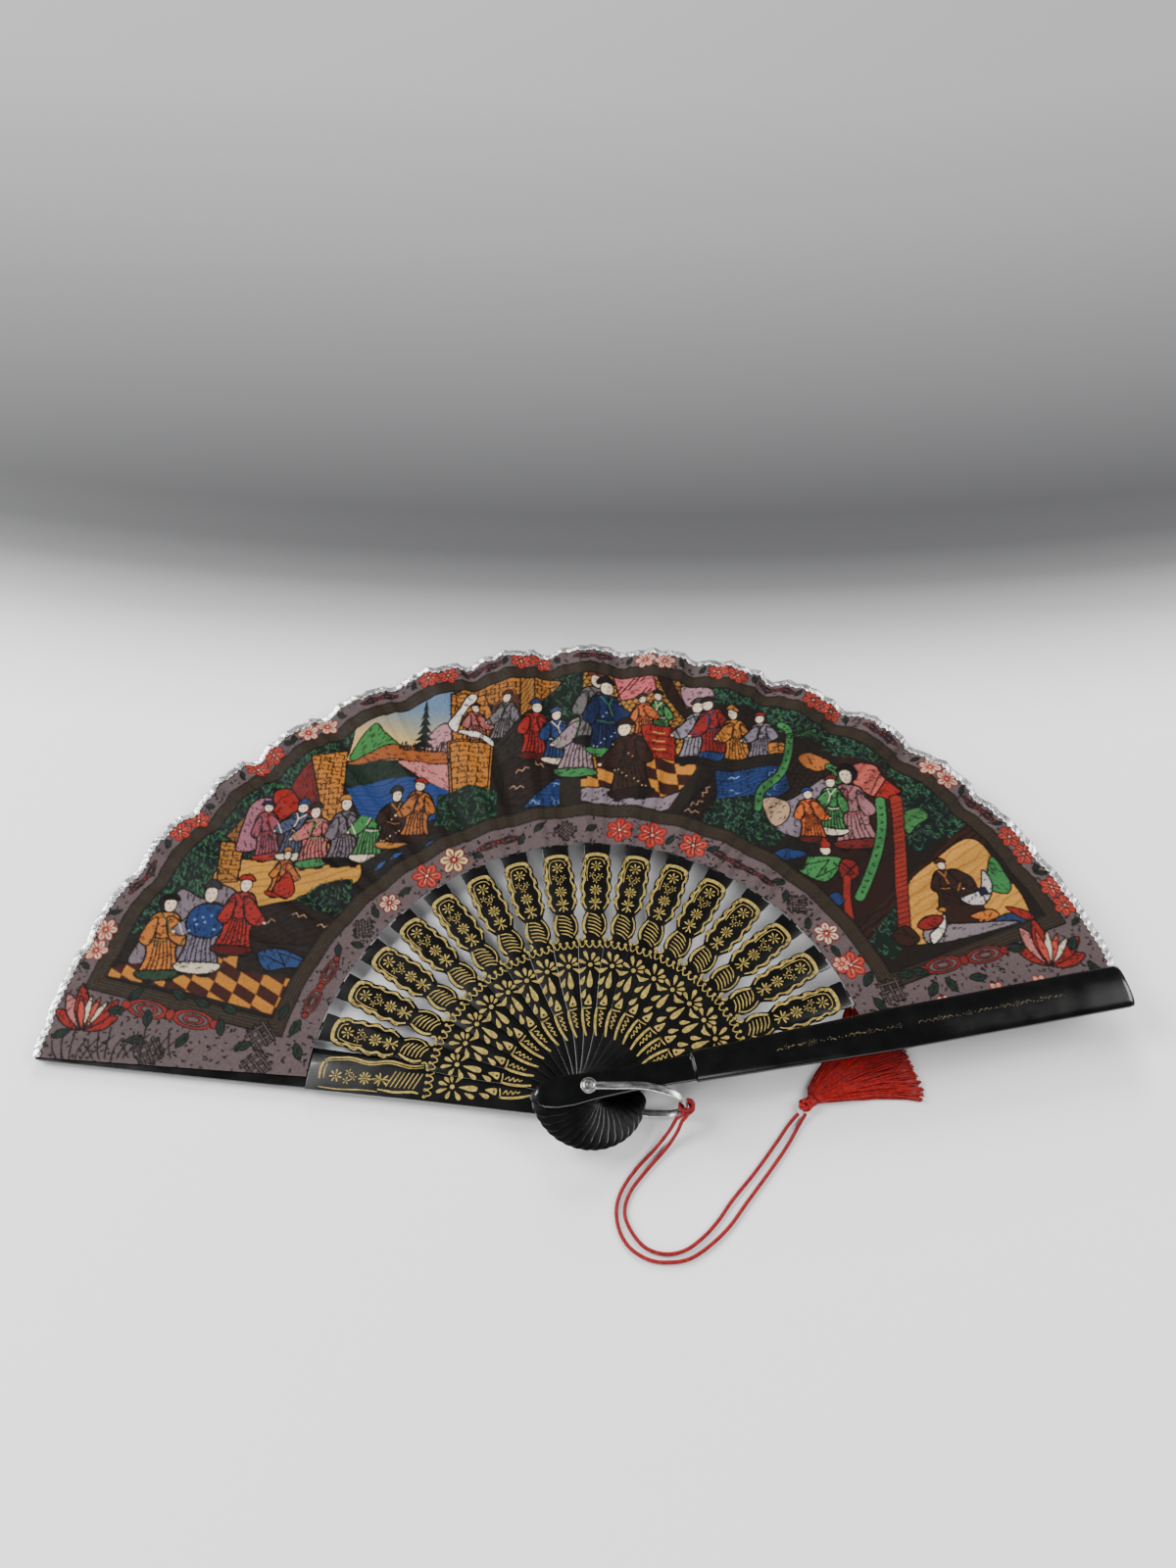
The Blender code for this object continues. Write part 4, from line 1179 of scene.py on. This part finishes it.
def paint_wedges():
    """The wide ends of the border, with a bloom, a ribbon, lattices and grasses."""
    lotus(-183, 22.5, 14.5, 80)
    ribbon(-152, 28.5, 34, -12, (172, 60, 50))
    for x, y, turn in ((-157, 14.5, -8), (-118, 21, 0), (-118, 10, 5)):
        knot_motif(x, y, 2.9, turn + 38)
    leaves_left = [(-172, 30), (-166, 36), (-160, 27), (-150, 36), (-163, 19), (-146, 19), (-133, 24),
        (-131, 31)]
    for i, (x, y) in enumerate([*leaves_left, (-124, 17), (-106, 24), (-104, 15), (-141, 33), (-190, 21),
        (-111, 30)]):
        little_leaf(x, y, 3.0, 47 * i)
    for i in range(20):
        x = -189 + 2.1 * i
        blade = smooth_line([(0, 0), (0.5, 4.0), (2.2, 7.6 + 2 * (i % 3))], 9)
        stroke(placed(blade, x, 11.0 + 0.1 * i, 40 - 14 * (i % 6)), 0.5, (52, 42, 44))
    lotus(168, 48, 16, 78)
    ribbon(137, 50, 32, 15, (158, 50, 46))
    knot_motif(109, 37.5, 2.9, 18)
    for i, (x, y) in enumerate([(120, 45), (124, 38), (131, 40), (141, 43), (101, 42), (104, 32), (157, 55),
        (178, 57), (184, 47), (115, 44)]):
        little_leaf(x, y, 3.0, 61 * i)
    for x, y in ((147, 38), (127, 32.5), (163, 41), (92, 48)):
        blossom(x, y, 3.0, CREAM, RED, 6, 10)


def painted(x, y):
    """The canvas colour at points of the flat leaf, averaged over a few dots, as linear values."""
    total = np.zeros((len(x), 3))
    for dx in (-0.14, 0.0, 0.14):
        for dy in (-0.14, 0.0, 0.14):
            column = np.clip((x + dx - LEFT) * DOTS, 0, CANVAS.shape[1] - 1).astype(int)
            row = np.clip((y + dy - BOTTOM) * DOTS, 0, CANVAS.shape[0] - 1).astype(int)
            total += CANVAS[row, column]
    share = total / 9 / 255
    share = 0.9 * share**1.62
    grey = share.mean(1, keepdims=True)
    share = grey + 0.76 * (share - grey)
    return np.where(share <= 0.04, share / 12.92, ((share + 0.055) / 1.055) ** 2.4)


# The leaf's folds


def fold_wave(s):
    """Zigzag of the pleats by stick number: low after each stick, high before it, with soft folds."""
    return -np.arcsin(0.985 * np.sin(math.tau * s)) / math.asin(0.985)


def cloth_point(s, radius):
    """Where the cloth lies at a stick number and a radius in millimetres, in metres."""
    bearing = np.radians(BACK_ANGLE - STEP * s)
    from_rib = np.abs(s - np.round(s)) * math.radians(STEP) * radius
    flat = np.clip((from_rib - 1.3) / 2.2, 0, 1)
    flat = flat * flat * (3 - 2 * flat)
    out = np.clip((radius - LEAF_INNER) / (LEAF_OUTER - LEAF_INNER), 0, 1)
    ends = np.clip(0.05 + 0.26 * s, 0, 1) * np.clip(0.22 * (LAST - s) - 0.02, 0.02, 1)
    lift = (0.6 + 2.0 * out) * fold_wave(s) * flat * ends
    turn = math.tau * s
    lift = lift + 0.12 * np.sin(radius * 0.31 + 2 * turn) * np.sin(turn) * flat * ends
    ripple = np.clip((out - 0.72) / 0.28, 0, 1) ** 1.5
    waves = 0.55 * np.sin(3 * turn + 1.1) + 0.35 * np.sin(5 * turn) + 0.12 * np.sin(7.1 * s)
    lift = lift + ripple * ends * flat * waves
    scallop = 1.7 * np.abs(np.cos(turn)) + 0.4 * np.sin(5.1 * s) + 0.4 * np.sin(17 * s + 2) - 1.1
    reach = radius + ripple * scallop * np.clip(ends, 0.4, 1)
    height = BLADE_LOW[0] + LEAF_RISE + LAYER * s + lift * MM
    return np.stack([reach * MM * np.cos(bearing), reach * MM * np.sin(bearing), height], -1)


def span_of(k):
    """The stick numbers between which pleat k's cloth runs."""
    start = -1.3 / STEP if k == 0 else k - 0.25
    end = LAST + 1.5 / STEP if k == LAST else k + 0.75
    return start, end


def carry(obj, k, s):
    """The last pleat goes with its body; every other pleat stays where it lies."""
    if k == LAST:
        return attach(obj, BODIES[k])
    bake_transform(obj)
    return obj


def make_edging(k, material):
    """Foil folded over the rim of pleat k: a band on top, round the edge and under it."""
    start, end = span_of(k)
    columns = max(4, int((end - start) * 110))
    section = [(195.6, 0.16), (196.4, 0.2), (197.4, 0.22), (198.2, 0.16), (198.5, 0.0)]
    section += [(198.2, -0.16), (197.4, -0.2), (196.2, -0.16)]
    s = np.linspace(start, end, columns)
    rows = []
    for i, (radius, rise) in enumerate(section):
        crinkle = 0.16 * np.sin(61 * s + i) + 0.1 * np.sin(143 * s + 2.3 * i)
        ragged = 0.35 * np.sin(83 * s + 0.7 * i) * (i in (0, 7))
        points = cloth_point(s, np.full(columns, radius) + ragged)
        points[:, 2] += (rise * (1 + 0.9 * crinkle / 0.26) + 0.5 * crinkle * (3 <= i <= 5)) * MM
        rows.append(points)
    vertices = np.vstack(rows)
    faces = grid_faces(len(section), columns)
    last = (len(section) - 1) * columns
    faces += [(last + j, last + j + 1, j + 1, j) for j in range(columns - 1)]
    obj = mesh_object(f"leaf_edging_{k:02d}", vertices, faces, material)
    carry(obj, k, np.tile(s, len(section)))
    return obj


def make_pleat(k, material, foil):
    start, end = span_of(k)
    columns = max(6, int(round((end - start) * 80))) + 1
    rows = 236
    s, radius = np.meshgrid(np.linspace(start, end, columns),
        np.linspace(LEAF_INNER, LEAF_OUTER - 0.6, rows))
    s, radius = s.ravel(), radius.ravel()
    obj = mesh_object(f"leaf_pleat_{k:02d}", cloth_point(s, radius), grid_faces(rows, columns), material)
    bearing = np.radians(BACK_ANGLE - STEP * s)
    colour = np.ones((len(s), 4), np.float32)
    colour[:, :3] = painted(radius * np.cos(bearing), radius * np.sin(bearing))
    layer = obj.data.color_attributes.new("Paint", "FLOAT_COLOR", "POINT")
    layer.data.foreach_set("color", colour.ravel())
    carry(obj, k, s)
    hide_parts(f"leaf_panel_{k:02d}")
    edging = make_edging(k, foil)


def make_leaf():
    CANVAS[:] = EARTH
    paint_picture()
    paint_frame()
    paint_border()
    cloth = painted_cloth()
    foil = silver_paper()
    for k in range(LAST + 1):
        make_pleat(k, cloth, foil)


# Sticks and their gold prints, drawn along +X in millimetres

STICK_WIDTHS = [
    (-16, 4.6), (-11, 5.6), (-4, 5.3), (4, 3.9), (12, 2.9), (24, 2.8), (36, 4.2), (47, 5.3), (56.5, 5.75),
    (57.8, 5.8), (58.6, 4.4), (59.4, 3.6), (61.5, 4.5), (64.5, 4.9), (67.5, 4.4), (69.5, 3.7), (71.3, 4.5),
    (73.2, 5.5), (74.8, 5.9), (76.3, 5.5), (77.6, 5.5), (79.6, 6.3), (81.4, 6.1), (83, 5.7), (85,
        6.1), (86.6, 6.0),
    (88.6, 5.4), (90.6, 5.7), (92.4, 5.5), (94.2, 4.8), (95.4, 5.0), (99.5, 5.25),
]
BACK_BLADE_WIDTHS = [(-15, 4.4), (-9, 6.2), (0, 7.4), (16, 7.8), (57, 7.0), (99.5, 6.6)]
FRONT_BLADE_WIDTHS = [(-15, 3.6), (-9, 4.6), (0, 4.3), (20, 4.0), (57, 4.9), (99.5, 5.2)]
HEAD_RADIUS = 20.2
HOLE_RADIUS = 1.25
PRINT_THICK = 0.03 * MM


def stick_outline(widths):
    line = smooth_line(widths, 5 * len(widths))
    upper = [(x, w) for x, w in line]
    first_x, first_w = upper[0]
    tip = [(first_x - (first_x + HEAD_RADIUS) * math.sin(a), first_w * math.cos(a))
        for a in np.linspace(1.5, 0.2, 7)]
    upper = tip + upper
    return [(-HEAD_RADIUS, 0)] + upper + [(x, -w) for x, w in reversed(upper)]


def band(points, width):
    """Closed outline of a stroke, narrowing at both ends."""
    line = smooth_line(points, max(5, 4 * len(points)))
    ahead = np.gradient(line, axis=0)
    ahead /= np.linalg.norm(ahead, axis=1)[:, None] + 1e-9
    side = np.stack([-ahead[:, 1], ahead[:, 0]], 1)
    taper = np.sin(np.linspace(0.35, math.pi - 0.35, len(line)))[:, None] ** 0.5
    half = side * width / 2 * taper
    return np.vstack([line + half, (line - half)[::-1]])


def petal_outline(x, y, turn, long, wide, heavy=0.0):
    """A drop with its point at (x, y), thickest towards its far end."""
    base = [(0, 0), (0.3, 0.27), (0.65, 0.5), (0.93, 0.36), (1, 0), (0.93, -0.36), (0.65, -0.5),
        (0.3, -0.27)]
    points = [(px * long, py * wide * (1 + heavy * (px - 0.5))) for px, py in base]
    return smooth_line(placed(points, x, y, turn), 20, closed=True)


def ribbon_mark(points, width):
    """Closed outline of a stroke of even width."""
    line = smooth_line(points, max(5, 5 * len(points)))
    ahead = np.gradient(line, axis=0)
    ahead /= np.linalg.norm(ahead, axis=1)[:, None] + 1e-9
    side = np.stack([-ahead[:, 1], ahead[:, 0]], 1) * width / 2
    return np.vstack([line + side, (line - side)[::-1]])


def pierced(outline, centre, radius):
    """The outline with a round hole, joined to its edge by a slit."""
    nearest = int(np.argmin(np.hypot(*(outline - np.array(centre)).T)))
    rolled = np.roll(outline, -nearest, axis=0)
    x, y = rolled.T
    against = -math.copysign(1, np.sum(x * np.roll(y, -1) - y * np.roll(x, -1)))
    away = math.atan2(y[0] - centre[1], x[0] - centre[0])
    turns = away + against * np.linspace(0, math.tau, 12)
    ring = np.stack([centre[0] + radius * np.cos(turns), centre[1] + radius * np.sin(turns)], 1)
    return np.vstack([rolled, rolled[:1], ring])


def daisy(x, y, size, petals, start=0.0, heart=0.34):
    drops = [circle(x, y, size * heart * 0.6)]
    for i in range(petals):
        turn = start + 360 * i / petals
        px, py = placed([(size * heart, 0)], x, y, turn)[0]
        drops.append(petal_outline(px, py, turn, size * (1 - heart), size * 0.27))
    return drops


def print_body():
    """Vine, long-petalled flower, drops, bud and claw, on the wide part of a stick."""
    vine = [(57.4, 5.4)]
    for y in (4.2, 1.6, -1.0, -3.6):
        vine += [(55.6, y + 0.7), (55.1, y), (55.7, y - 0.8), (56.7, y - 1.2)]
    marks = [ribbon_mark(vine[:-1], 0.42)]
    for y in (5.5, 3.0, 0.4, -2.2):
        marks.append(circle(57.4, y, 0.6))
    marks.append(circle(48.0, 1.0, 0.85))
    for turn, gap, long, wide in (
        (-78, 1.5, 2.3, 1.2),
        (-46, 1.7, 2.8, 1.3),
        (-14, 1.9, 3.2, 1.4),
        (24, 1.9, 4.0, 1.4),
        (70, 1.6, 3.1, 1.4),
        (126, 1.8, 3.8, 1.6),
        (-122, 1.8, 3.6, 1.4),
        (180, 2.2, 6.8, 2.1),
    ):
        px, py = placed([(gap, 0)], 48.0, 1.0, turn)[0]
        marks.append(petal_outline(px, py, turn, long, wide))
    marks.append(petal_outline(43.5, 2.8, 156, 3.9, 1.6))
    marks.append(petal_outline(38.3, 2.4, 161, 3.8, 1.7))
    bud = [(36.4, 1.0), (34.5, 1.9), (32.6, 2.6), (32.2, 1.3), (32.5, 0.1), (34.2, 0.2)]
    marks.append(pierced(smooth_line(bud, 28, closed=True), (33.2, 1.3), 0.42))
    marks.append(ribbon_mark([(31.1, 3.4), (30.9, 2.2), (31.1, 0.9), (31.3, 0.0)], 0.45))
    marks.append(band([(31.2, 3.2), (28.2, 3.2), (24.0, 2.6), (20.4, 1.5)], 0.95))
    wiggle = [(30.0, 1.9), (28.9, 0.6), (28.3, 1.9), (27.2, 0.5), (26.6, 1.7), (25.6, 0.6), (24.9, 1.2),
        (24.0, 0.5)]
    marks.append(ribbon_mark(wiggle, 0.36))
    return marks


def print_oval():
    """Side lines and slanting strokes on the oval above the body."""
    marks = [band([(60.8, 3.0), (63.4, 4.0), (66.4, 3.7), (69.4, 2.6)], 1.0)]
    marks.append(ribbon_mark([(60.4, -2.6), (63.0, -4.0), (66.2, -3.9), (69.0, -2.7)], 0.45))
    for side in (-1, 1):
        marks.append(ribbon_mark([(57.8, 4.6 * side), (59.0, 3.4 * side), (60.2, 3.9 * side)], 0.6))
    for i in range(6):
        x = 60.5 + 1.5 * i
        reach = 2.5 - 0.5 * (i in (0, 5))
        marks.append(band([(x - 1.0, -reach), (x + 0.5, -0.2), (x + 1.1, reach)], 0.48))
    return marks


def print_flowers():
    """A chain of small flowers up the stick's axis, with a leafy sprig at its foot."""
    marks = daisy(89.6, 0, 2.3, 7, 10, 0.22) + daisy(79.2, 0, 2.3, 9, 12, 0.22)
    for x, y in ((85.6, 1.5), (85.2, -1.5), (83.4, 0.1)):
        marks += daisy(x, y, 1.35, 5, 30 * x, 0.2)
    for turn in (0, 38, -38, 78, -78):
        marks.append(petal_outline(73.6, 0, turn, 2.5, 0.6))
    marks.append(ribbon_mark([(76.6, 0), (75.0, 0.2), (72.0, -0.2), (70.6, 0.1)], 0.45))
    for side in (-1, 1):
        marks.append(petal_outline(72.8, 0.3 * side, 180 - 40 * side, 2.2, 0.6))
    return marks


def print_arch():
    """Thick arch under the cap, with double lines and bumps down both scalloped sides."""
    marks = [ribbon_mark([(92.4, -4.1), (94.2, -3.4), (94.9, 0), (94.2, 3.4), (92.4, 4.1)], 1.35)]
    marks.append(ribbon_mark([(83.0, 3.3), (86.5, 3.6), (90.4, 3.2), (92.4, 2.3), (93.0, 0), (92.4, -2.3),
        (90.4, -3.2)], 0.3))
    for side, heavy in ((-1, 0.6), (1, 0.9)):
        outer = [(92.8, 4.1), (90.6, 4.6), (88.8, 4.2), (86.0, 4.8), (83.6, 4.3), (81.4, 5.0), (79.0, 5.0),
            (77.0, 4.2)]
        outer += [(75.0, 4.7), (73.0, 4.2), (71.2, 3.2)]
        marks.append(band([(x, y * side) for x, y in outer], heavy))
        for x, y in ((91.0, 5.0), (86.0, 5.4), (80.6, 5.7), (74.9, 5.3)):
            marks.append(petal_outline(x + 1.6, (y - 0.15) * side, 180, 3.2, 0.85 * heavy))
    return marks


def print_back_blade():
    """The wide end blade: flowers and hatching between wavy double lines."""
    marks = [mark + np.array([0.0, 0.9]) for mark in map(np.array, print_flowers())]
    for offset, width in ((-5.9, 0.7), (-5.0, 0.4)):
        wave = [(94.5, offset + 1.6), (92.5, offset + 0.5)]
        wave += [(x, offset + 0.55 * math.sin(x * 0.42) + 0.3) for x in range(89, 58, -3)]
        marks.append(band(wave, width))
    marks.append(band([(94.8, -3.8), (95.4, -1.0), (95.2, 2.4)], 0.9))
    marks.append(band([(93.4, -3.2), (93.9, -0.8), (93.7, 2.2)], 0.4))
    marks.append(band([(95.0, 5.4), (88, 5.7), (80, 5.2), (74, 5.3)], 0.4))
    marks.append(band([(74, 4.4), (68, 4.9), (62, 4.3), (59.5, 4.6)], 0.85))
    for i in range(7):
        x = 60.2 + 1.6 * i
        marks.append(band([(x - 1.2, -2.6), (x + 0.2, 0.4), (x + 1.5, 3.2)], 0.45))
    return marks + print_body()


def print_mesh(name, marks, high, material):
    """The marks as thin raised films on a surface."""
    mesh = bmesh.new()
    for mark in marks:
        top = [mesh.verts.new((x * MM, y * MM, high + PRINT_THICK)) for x, y in mark]
        low = [mesh.verts.new((x * MM, y * MM, high - PRINT_THICK / 3)) for x, y in mark]
        mesh.faces.new(top)
        mesh.faces.new(low[::-1])
        for i in range(len(top)):
            j = (i + 1) % len(top)
            mesh.faces.new((top[i], low[i], low[j], top[j]))
    bmesh.ops.recalc_face_normals(mesh, faces=mesh.faces)
    bmesh.ops.triangulate(mesh, faces=[face for face in mesh.faces if len(face.verts) > 4])
    data = bpy.data.meshes.new(name)
    mesh.to_mesh(data)
    mesh.free()
    data.materials.append(material)
    obj = bpy.data.objects.new(name, data)
    bpy.context.scene.collection.objects.link(obj)
    return obj


def make_blade(k, widths, marks, black, gold):
    """One stick: its blade, the thin rib under the leaf, and the gold print on its face."""
    low = BLADE_LOW[k]
    high = low + BLADE_THICK
    outline = [(x * MM, y * MM) for x, y in stick_outline(widths)]
    hole = circle(0, 0, HOLE_RADIUS * MM)
    name = BLADE_NODES[k]
    obj = plate(name + "_lacquered", [outline, hole], low, high, 0.21 * MM, black)
    rib = [(0.096, -0.0015), (0.186, -0.0014), (0.191, 0), (0.186, 0.0014), (0.096, 0.0015)]
    slat = plate("rib", [rib], low + 0.02 * MM, low + 0.22 * MM, 0.03 * MM, black)
    head = np.array([(x, y, high - 0.14 * MM) for x, y in outline if x < -0.001])
    head = head[np.argsort(np.arctan2(head[:, 1], head[:, 0] + 0.008) % math.tau)]
    bead = mesh_object("bead", *tube_data(head * np.array([0.998, 0.99, 1]), 0.15 * MM, 8))
    mesh = bmesh.new()
    mesh.from_mesh(obj.data)
    mesh.from_mesh(bead.data)
    bpy.data.objects.remove(bead, do_unlink=True)
    mesh.from_mesh(slat.data)
    mesh.to_mesh(obj.data)
    mesh.free()
    bpy.data.objects.remove(slat, do_unlink=True)
    turned(obj, blade_angle(k))
    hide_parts(name)
    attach(obj, BODIES[k])
    if marks:
        film = print_mesh(name + "_print", marks, high, gold)
        turned(film, blade_angle(k))
        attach(film, BODIES[k])


def make_blades():
    black = lacquer("stick_lacquer", 0.26, (10, 9, 9))
    gold = gold_print("gold_ink", (160, 139, 70), (110, 93, 42))
    marks = print_body() + print_oval() + print_flowers() + print_arch()
    make_blade(0, BACK_BLADE_WIDTHS, print_back_blade(), black, gold)
    for k in range(1, LAST):
        make_blade(k, STICK_WIDTHS, marks, black, gold)
    make_blade(LAST, FRONT_BLADE_WIDTHS, None, black, gold)


# Guards, bail and rivet

GUARD_WIDTHS = [
    (-18.6, 1.2), (-17.8, 2.9), (-16, 4.3), (-12, 5.4), (-6, 5.6), (2, 4.9), (14, 4.5), (30, 4.7), (36.6,
        4.9),
    (37.0, 5.0), (37.4, 5.6), (60, 6.3), (111, 7.7), (160, 8.0), (195.6, 8.1), (197.2, 7.8), (197.5, 7.2),
]
GUARD_SHOULDER = 37.0
GUARD_HEAD_THICK = 1.4
GUARD_BAR_THICK = 3.1


def guard_shape(name, flat_height, side, degrees, material):
    """A guard with its flat face at flat_height and its dome towards side."""
    x = np.unique(np.concatenate([np.linspace(-18.6, 197.5, 130), [w[0] for w in GUARD_WIDTHS],
        np.linspace(36, 38.4, 9)]))
    half = np.interp(x, *np.array(GUARD_WIDTHS).T)
    step = np.clip((x - GUARD_SHOULDER + 0.5) / 1.0, 0, 1)
    step = step * step * (3 - 2 * step)
    thick = GUARD_HEAD_THICK + (GUARD_BAR_THICK - GUARD_HEAD_THICK) * step
    thick = thick * np.clip(0.75 + (x + 18.6) / 6, 0, 1) * np.clip(1.0 - (x - 196.4) / 6, 0, 1)
    arcs = 20
    turn = np.linspace(0, math.pi, arcs + 1)
    rings = []
    for xi, wi, ti in zip(x, half, thick):
        across = wi * np.cos(turn)
        rise = 0.3 * ti + 0.7 * ti * np.minimum(1.0, np.sin(turn) / math.sin(math.pi * 3 / 7))
        lift = np.concatenate([[0.0], rise, [0.0]])
        y = np.concatenate([[wi * 0.985], across, [-wi * 0.985]])
        rings.append(np.stack([np.full(arcs + 3, xi), y, side * lift], 1))
    vertices = np.vstack(rings) * MM + np.array([0, 0, flat_height])
    count = arcs + 3
    faces = grid_faces(len(x), count, closed=True)
    faces += [tuple(range(count)), tuple((len(x) - 1) * count + j for j in range(count - 1, -1, -1))]
    obj = mesh_object(name, vertices, faces, material)
    shape_data = bmesh.new()
    shape_data.from_mesh(obj.data)
    bmesh.ops.recalc_face_normals(shape_data, faces=shape_data.faces)
    shape_data.to_mesh(obj.data)
    shape_data.free()
    obj.data.shade_smooth()
    obj.data.set_sharp_from_angle(angle=math.radians(40))
    return turned(obj, degrees)


def guard_marks():
    """A worn row of tiny flowers, leaves and dots along the guard's crown."""
    rng = random.Random(3)
    marks = []
    x = 68.0
    while x < 172:
        if 112 < x < 118:
            x += 3
            continue
        kind = rng.randrange(4)
        y = rng.uniform(-0.25, 0.25)
        if kind == 0:
            marks += daisy(x, y, 1.05, 5, rng.uniform(0, 90))
        elif kind == 1:
            marks.append(petal_outline(x - 1, y, rng.uniform(-30, 30), 1.9, 0.6))
            marks.append(petal_outline(x - 0.6, y, 180 + rng.uniform(-50, 50), 1.2, 0.5))
        elif kind == 2:
            marks.append(band([(x - 1.2, y - 0.5), (x, y + 0.5), (x + 1.2, y - 0.3)], 0.35))
        else:
            marks.append(circle(x, y, 0.3))
            marks.append(circle(x + 1.0, y - 0.4, 0.2))
        x += rng.uniform(1.7, 2.6)
    return marks


def make_guards():
    gloss = lacquer("guard_lacquer", 0.18, (8, 8, 8))
    worn = gold_print("worn_gold", (84, 72, 38), (10, 9, 7))
    back_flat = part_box("back_guard")[1].z
    front_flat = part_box("front_guard")[0].z
    front_angle = blade_angle(LAST)
    for name, flat, side, degrees, body in (
        ("back_guard", back_flat, -1, BACK_GUARD_ANGLE, "back_side"),
        ("front_guard", front_flat, 1, front_angle, "front_side"),
    ):
        obj = guard_shape(name + "_lacquered", flat, side, degrees, gloss)
        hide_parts(name)
        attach(obj, body)
    film = print_mesh("front_guard_print", guard_marks(), front_flat + GUARD_BAR_THICK * MM, worn)
    turned(film, front_angle)
    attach(film, "front_side")


BAIL_ANGLE = -7.8
BAIL_REACH = 34.2
BAIL_WIDE = 2.5
BAIL_THICK = 0.8


def make_bail():
    """A flat metal strip bent into a loop, with a round eye at each end of the rivet."""
    metal = worn_metal("bail_metal", (206, 205, 202), 0.3)
    low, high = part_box("bail")
    base = low.z / MM + BAIL_THICK / 2
    rise = (high.z - low.z) / MM - BAIL_THICK
    reach = BAIL_REACH
    route = [
        (0.0, 0.0, base),
        (0.28 * reach, -1.2, base),
        (0.58 * reach, -1.9, base),
        (0.82 * reach, -1.2, base + 0.04 * rise),
        (0.94 * reach, -0.6, base + 0.2 * rise),
        (reach, 0.0, base + 0.5 * rise),
        (0.95 * reach, 0.8, base + 0.8 * rise),
        (0.82 * reach, 1.9, base + 0.965 * rise),
        (0.55 * reach, 2.6, base + rise),
        (0.25 * reach, 1.2, base + rise),
        (0.0, 0.0, base + rise),
    ]
    path = evenly(smooth_line(route, 700), 150) * MM
    ahead = np.gradient(path, axis=0)
    ahead[:, 1] = 0
    ahead /= np.linalg.norm(ahead, axis=1)[:, None]
    across = np.array([0.0, 1.0, 0.0])
    normal = np.cross(ahead, across)
    turn = np.linspace(0, math.tau, 20, endpoint=False)
    wide = 1.08 * BAIL_WIDE / 2 * MM * np.sign(np.cos(turn)) * np.abs(np.cos(turn)) ** 0.55
    thick = BAIL_THICK / 2 * MM * np.sign(np.sin(turn)) * np.abs(np.sin(turn)) ** 0.75
    rings = [p + wide[:, None] * across + thick[:, None] * n for p, n in zip(path[4:-4], normal[4:-4])]
    parts = [(np.vstack(rings), grid_faces(len(rings), 20, closed=True))]
    parts[0][1].append(tuple(range(19, -1, -1)))
    parts[0][1].append(tuple((len(rings) - 1) * 20 + j for j in range(20)))
    strip = mesh_object("bail_strip", *merged(parts), metal)
    turned(strip, BAIL_ANGLE)
    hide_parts("bail")
    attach(strip, "loop")
    for name, level in (("bail_eye_lower", low.z), ("bail_eye_upper", high.z - BAIL_THICK * MM)):
        outline = circle(0, 0, 2.8 * MM, ROUND_SIDES)
        eye = plate(name, [outline, circle(0, 0, HOLE_RADIUS * MM, ROUND_SIDES)], level,
            level + BAIL_THICK * MM, 0.16 * MM, metal)
        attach(eye, "loop")


def make_rivet():
    """The rivet's hammered upper cap and its flat lower one."""
    metal = worn_metal("rivet_metal", (170, 168, 164), 0.34)
    low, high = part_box("rivet_cap_upper")
    tall = high.z - low.z
    profile = [(2.2, 0.0), (2.25, 0.28), (2.05, 0.62), (1.5, 0.86), (1.15, 0.9), (1.0, 0.78), (0.7, 0.92),
        (0.3, 1.0)]
    turn = np.linspace(0, math.tau, 40, endpoint=False)
    rings = []
    for i, (radius, share) in enumerate(profile):
        wobble = 1 + 0.03 * np.sin(3 * turn + i) + 0.02 * np.sin(7 * turn)
        reach = radius * MM * (wobble if 0 < i < 6 else 1)
        rings.append(np.stack([reach * np.cos(turn), reach * np.sin(turn),
            np.full(40, low.z + tall * share)], 1))
    faces = grid_faces(len(profile), 40, closed=True)
    faces += [tuple(range(39, -1, -1)), tuple((len(profile) - 1) * 40 + j for j in range(40))]
    cap = mesh_object("rivet_cap_hammered", np.vstack(rings), faces, metal)
    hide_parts("rivet_cap_upper")
    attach(cap, "back_side")
    low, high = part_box("rivet_cap_lower")
    base = plate("rivet_cap_flat", [circle(0, 0, 2.2 * MM, ROUND_SIDES)], low.z, high.z, 0.12 * MM, metal)
    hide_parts("rivet_cap_lower")
    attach(base, "back_side")
    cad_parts["rivet_pin"].data.materials.clear()
    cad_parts["rivet_pin"].data.materials.append(metal)


make_camera()
make_cords()
make_stage()
make_lights()
make_blades()
make_guards()
make_bail()
make_rivet()
make_leaf()
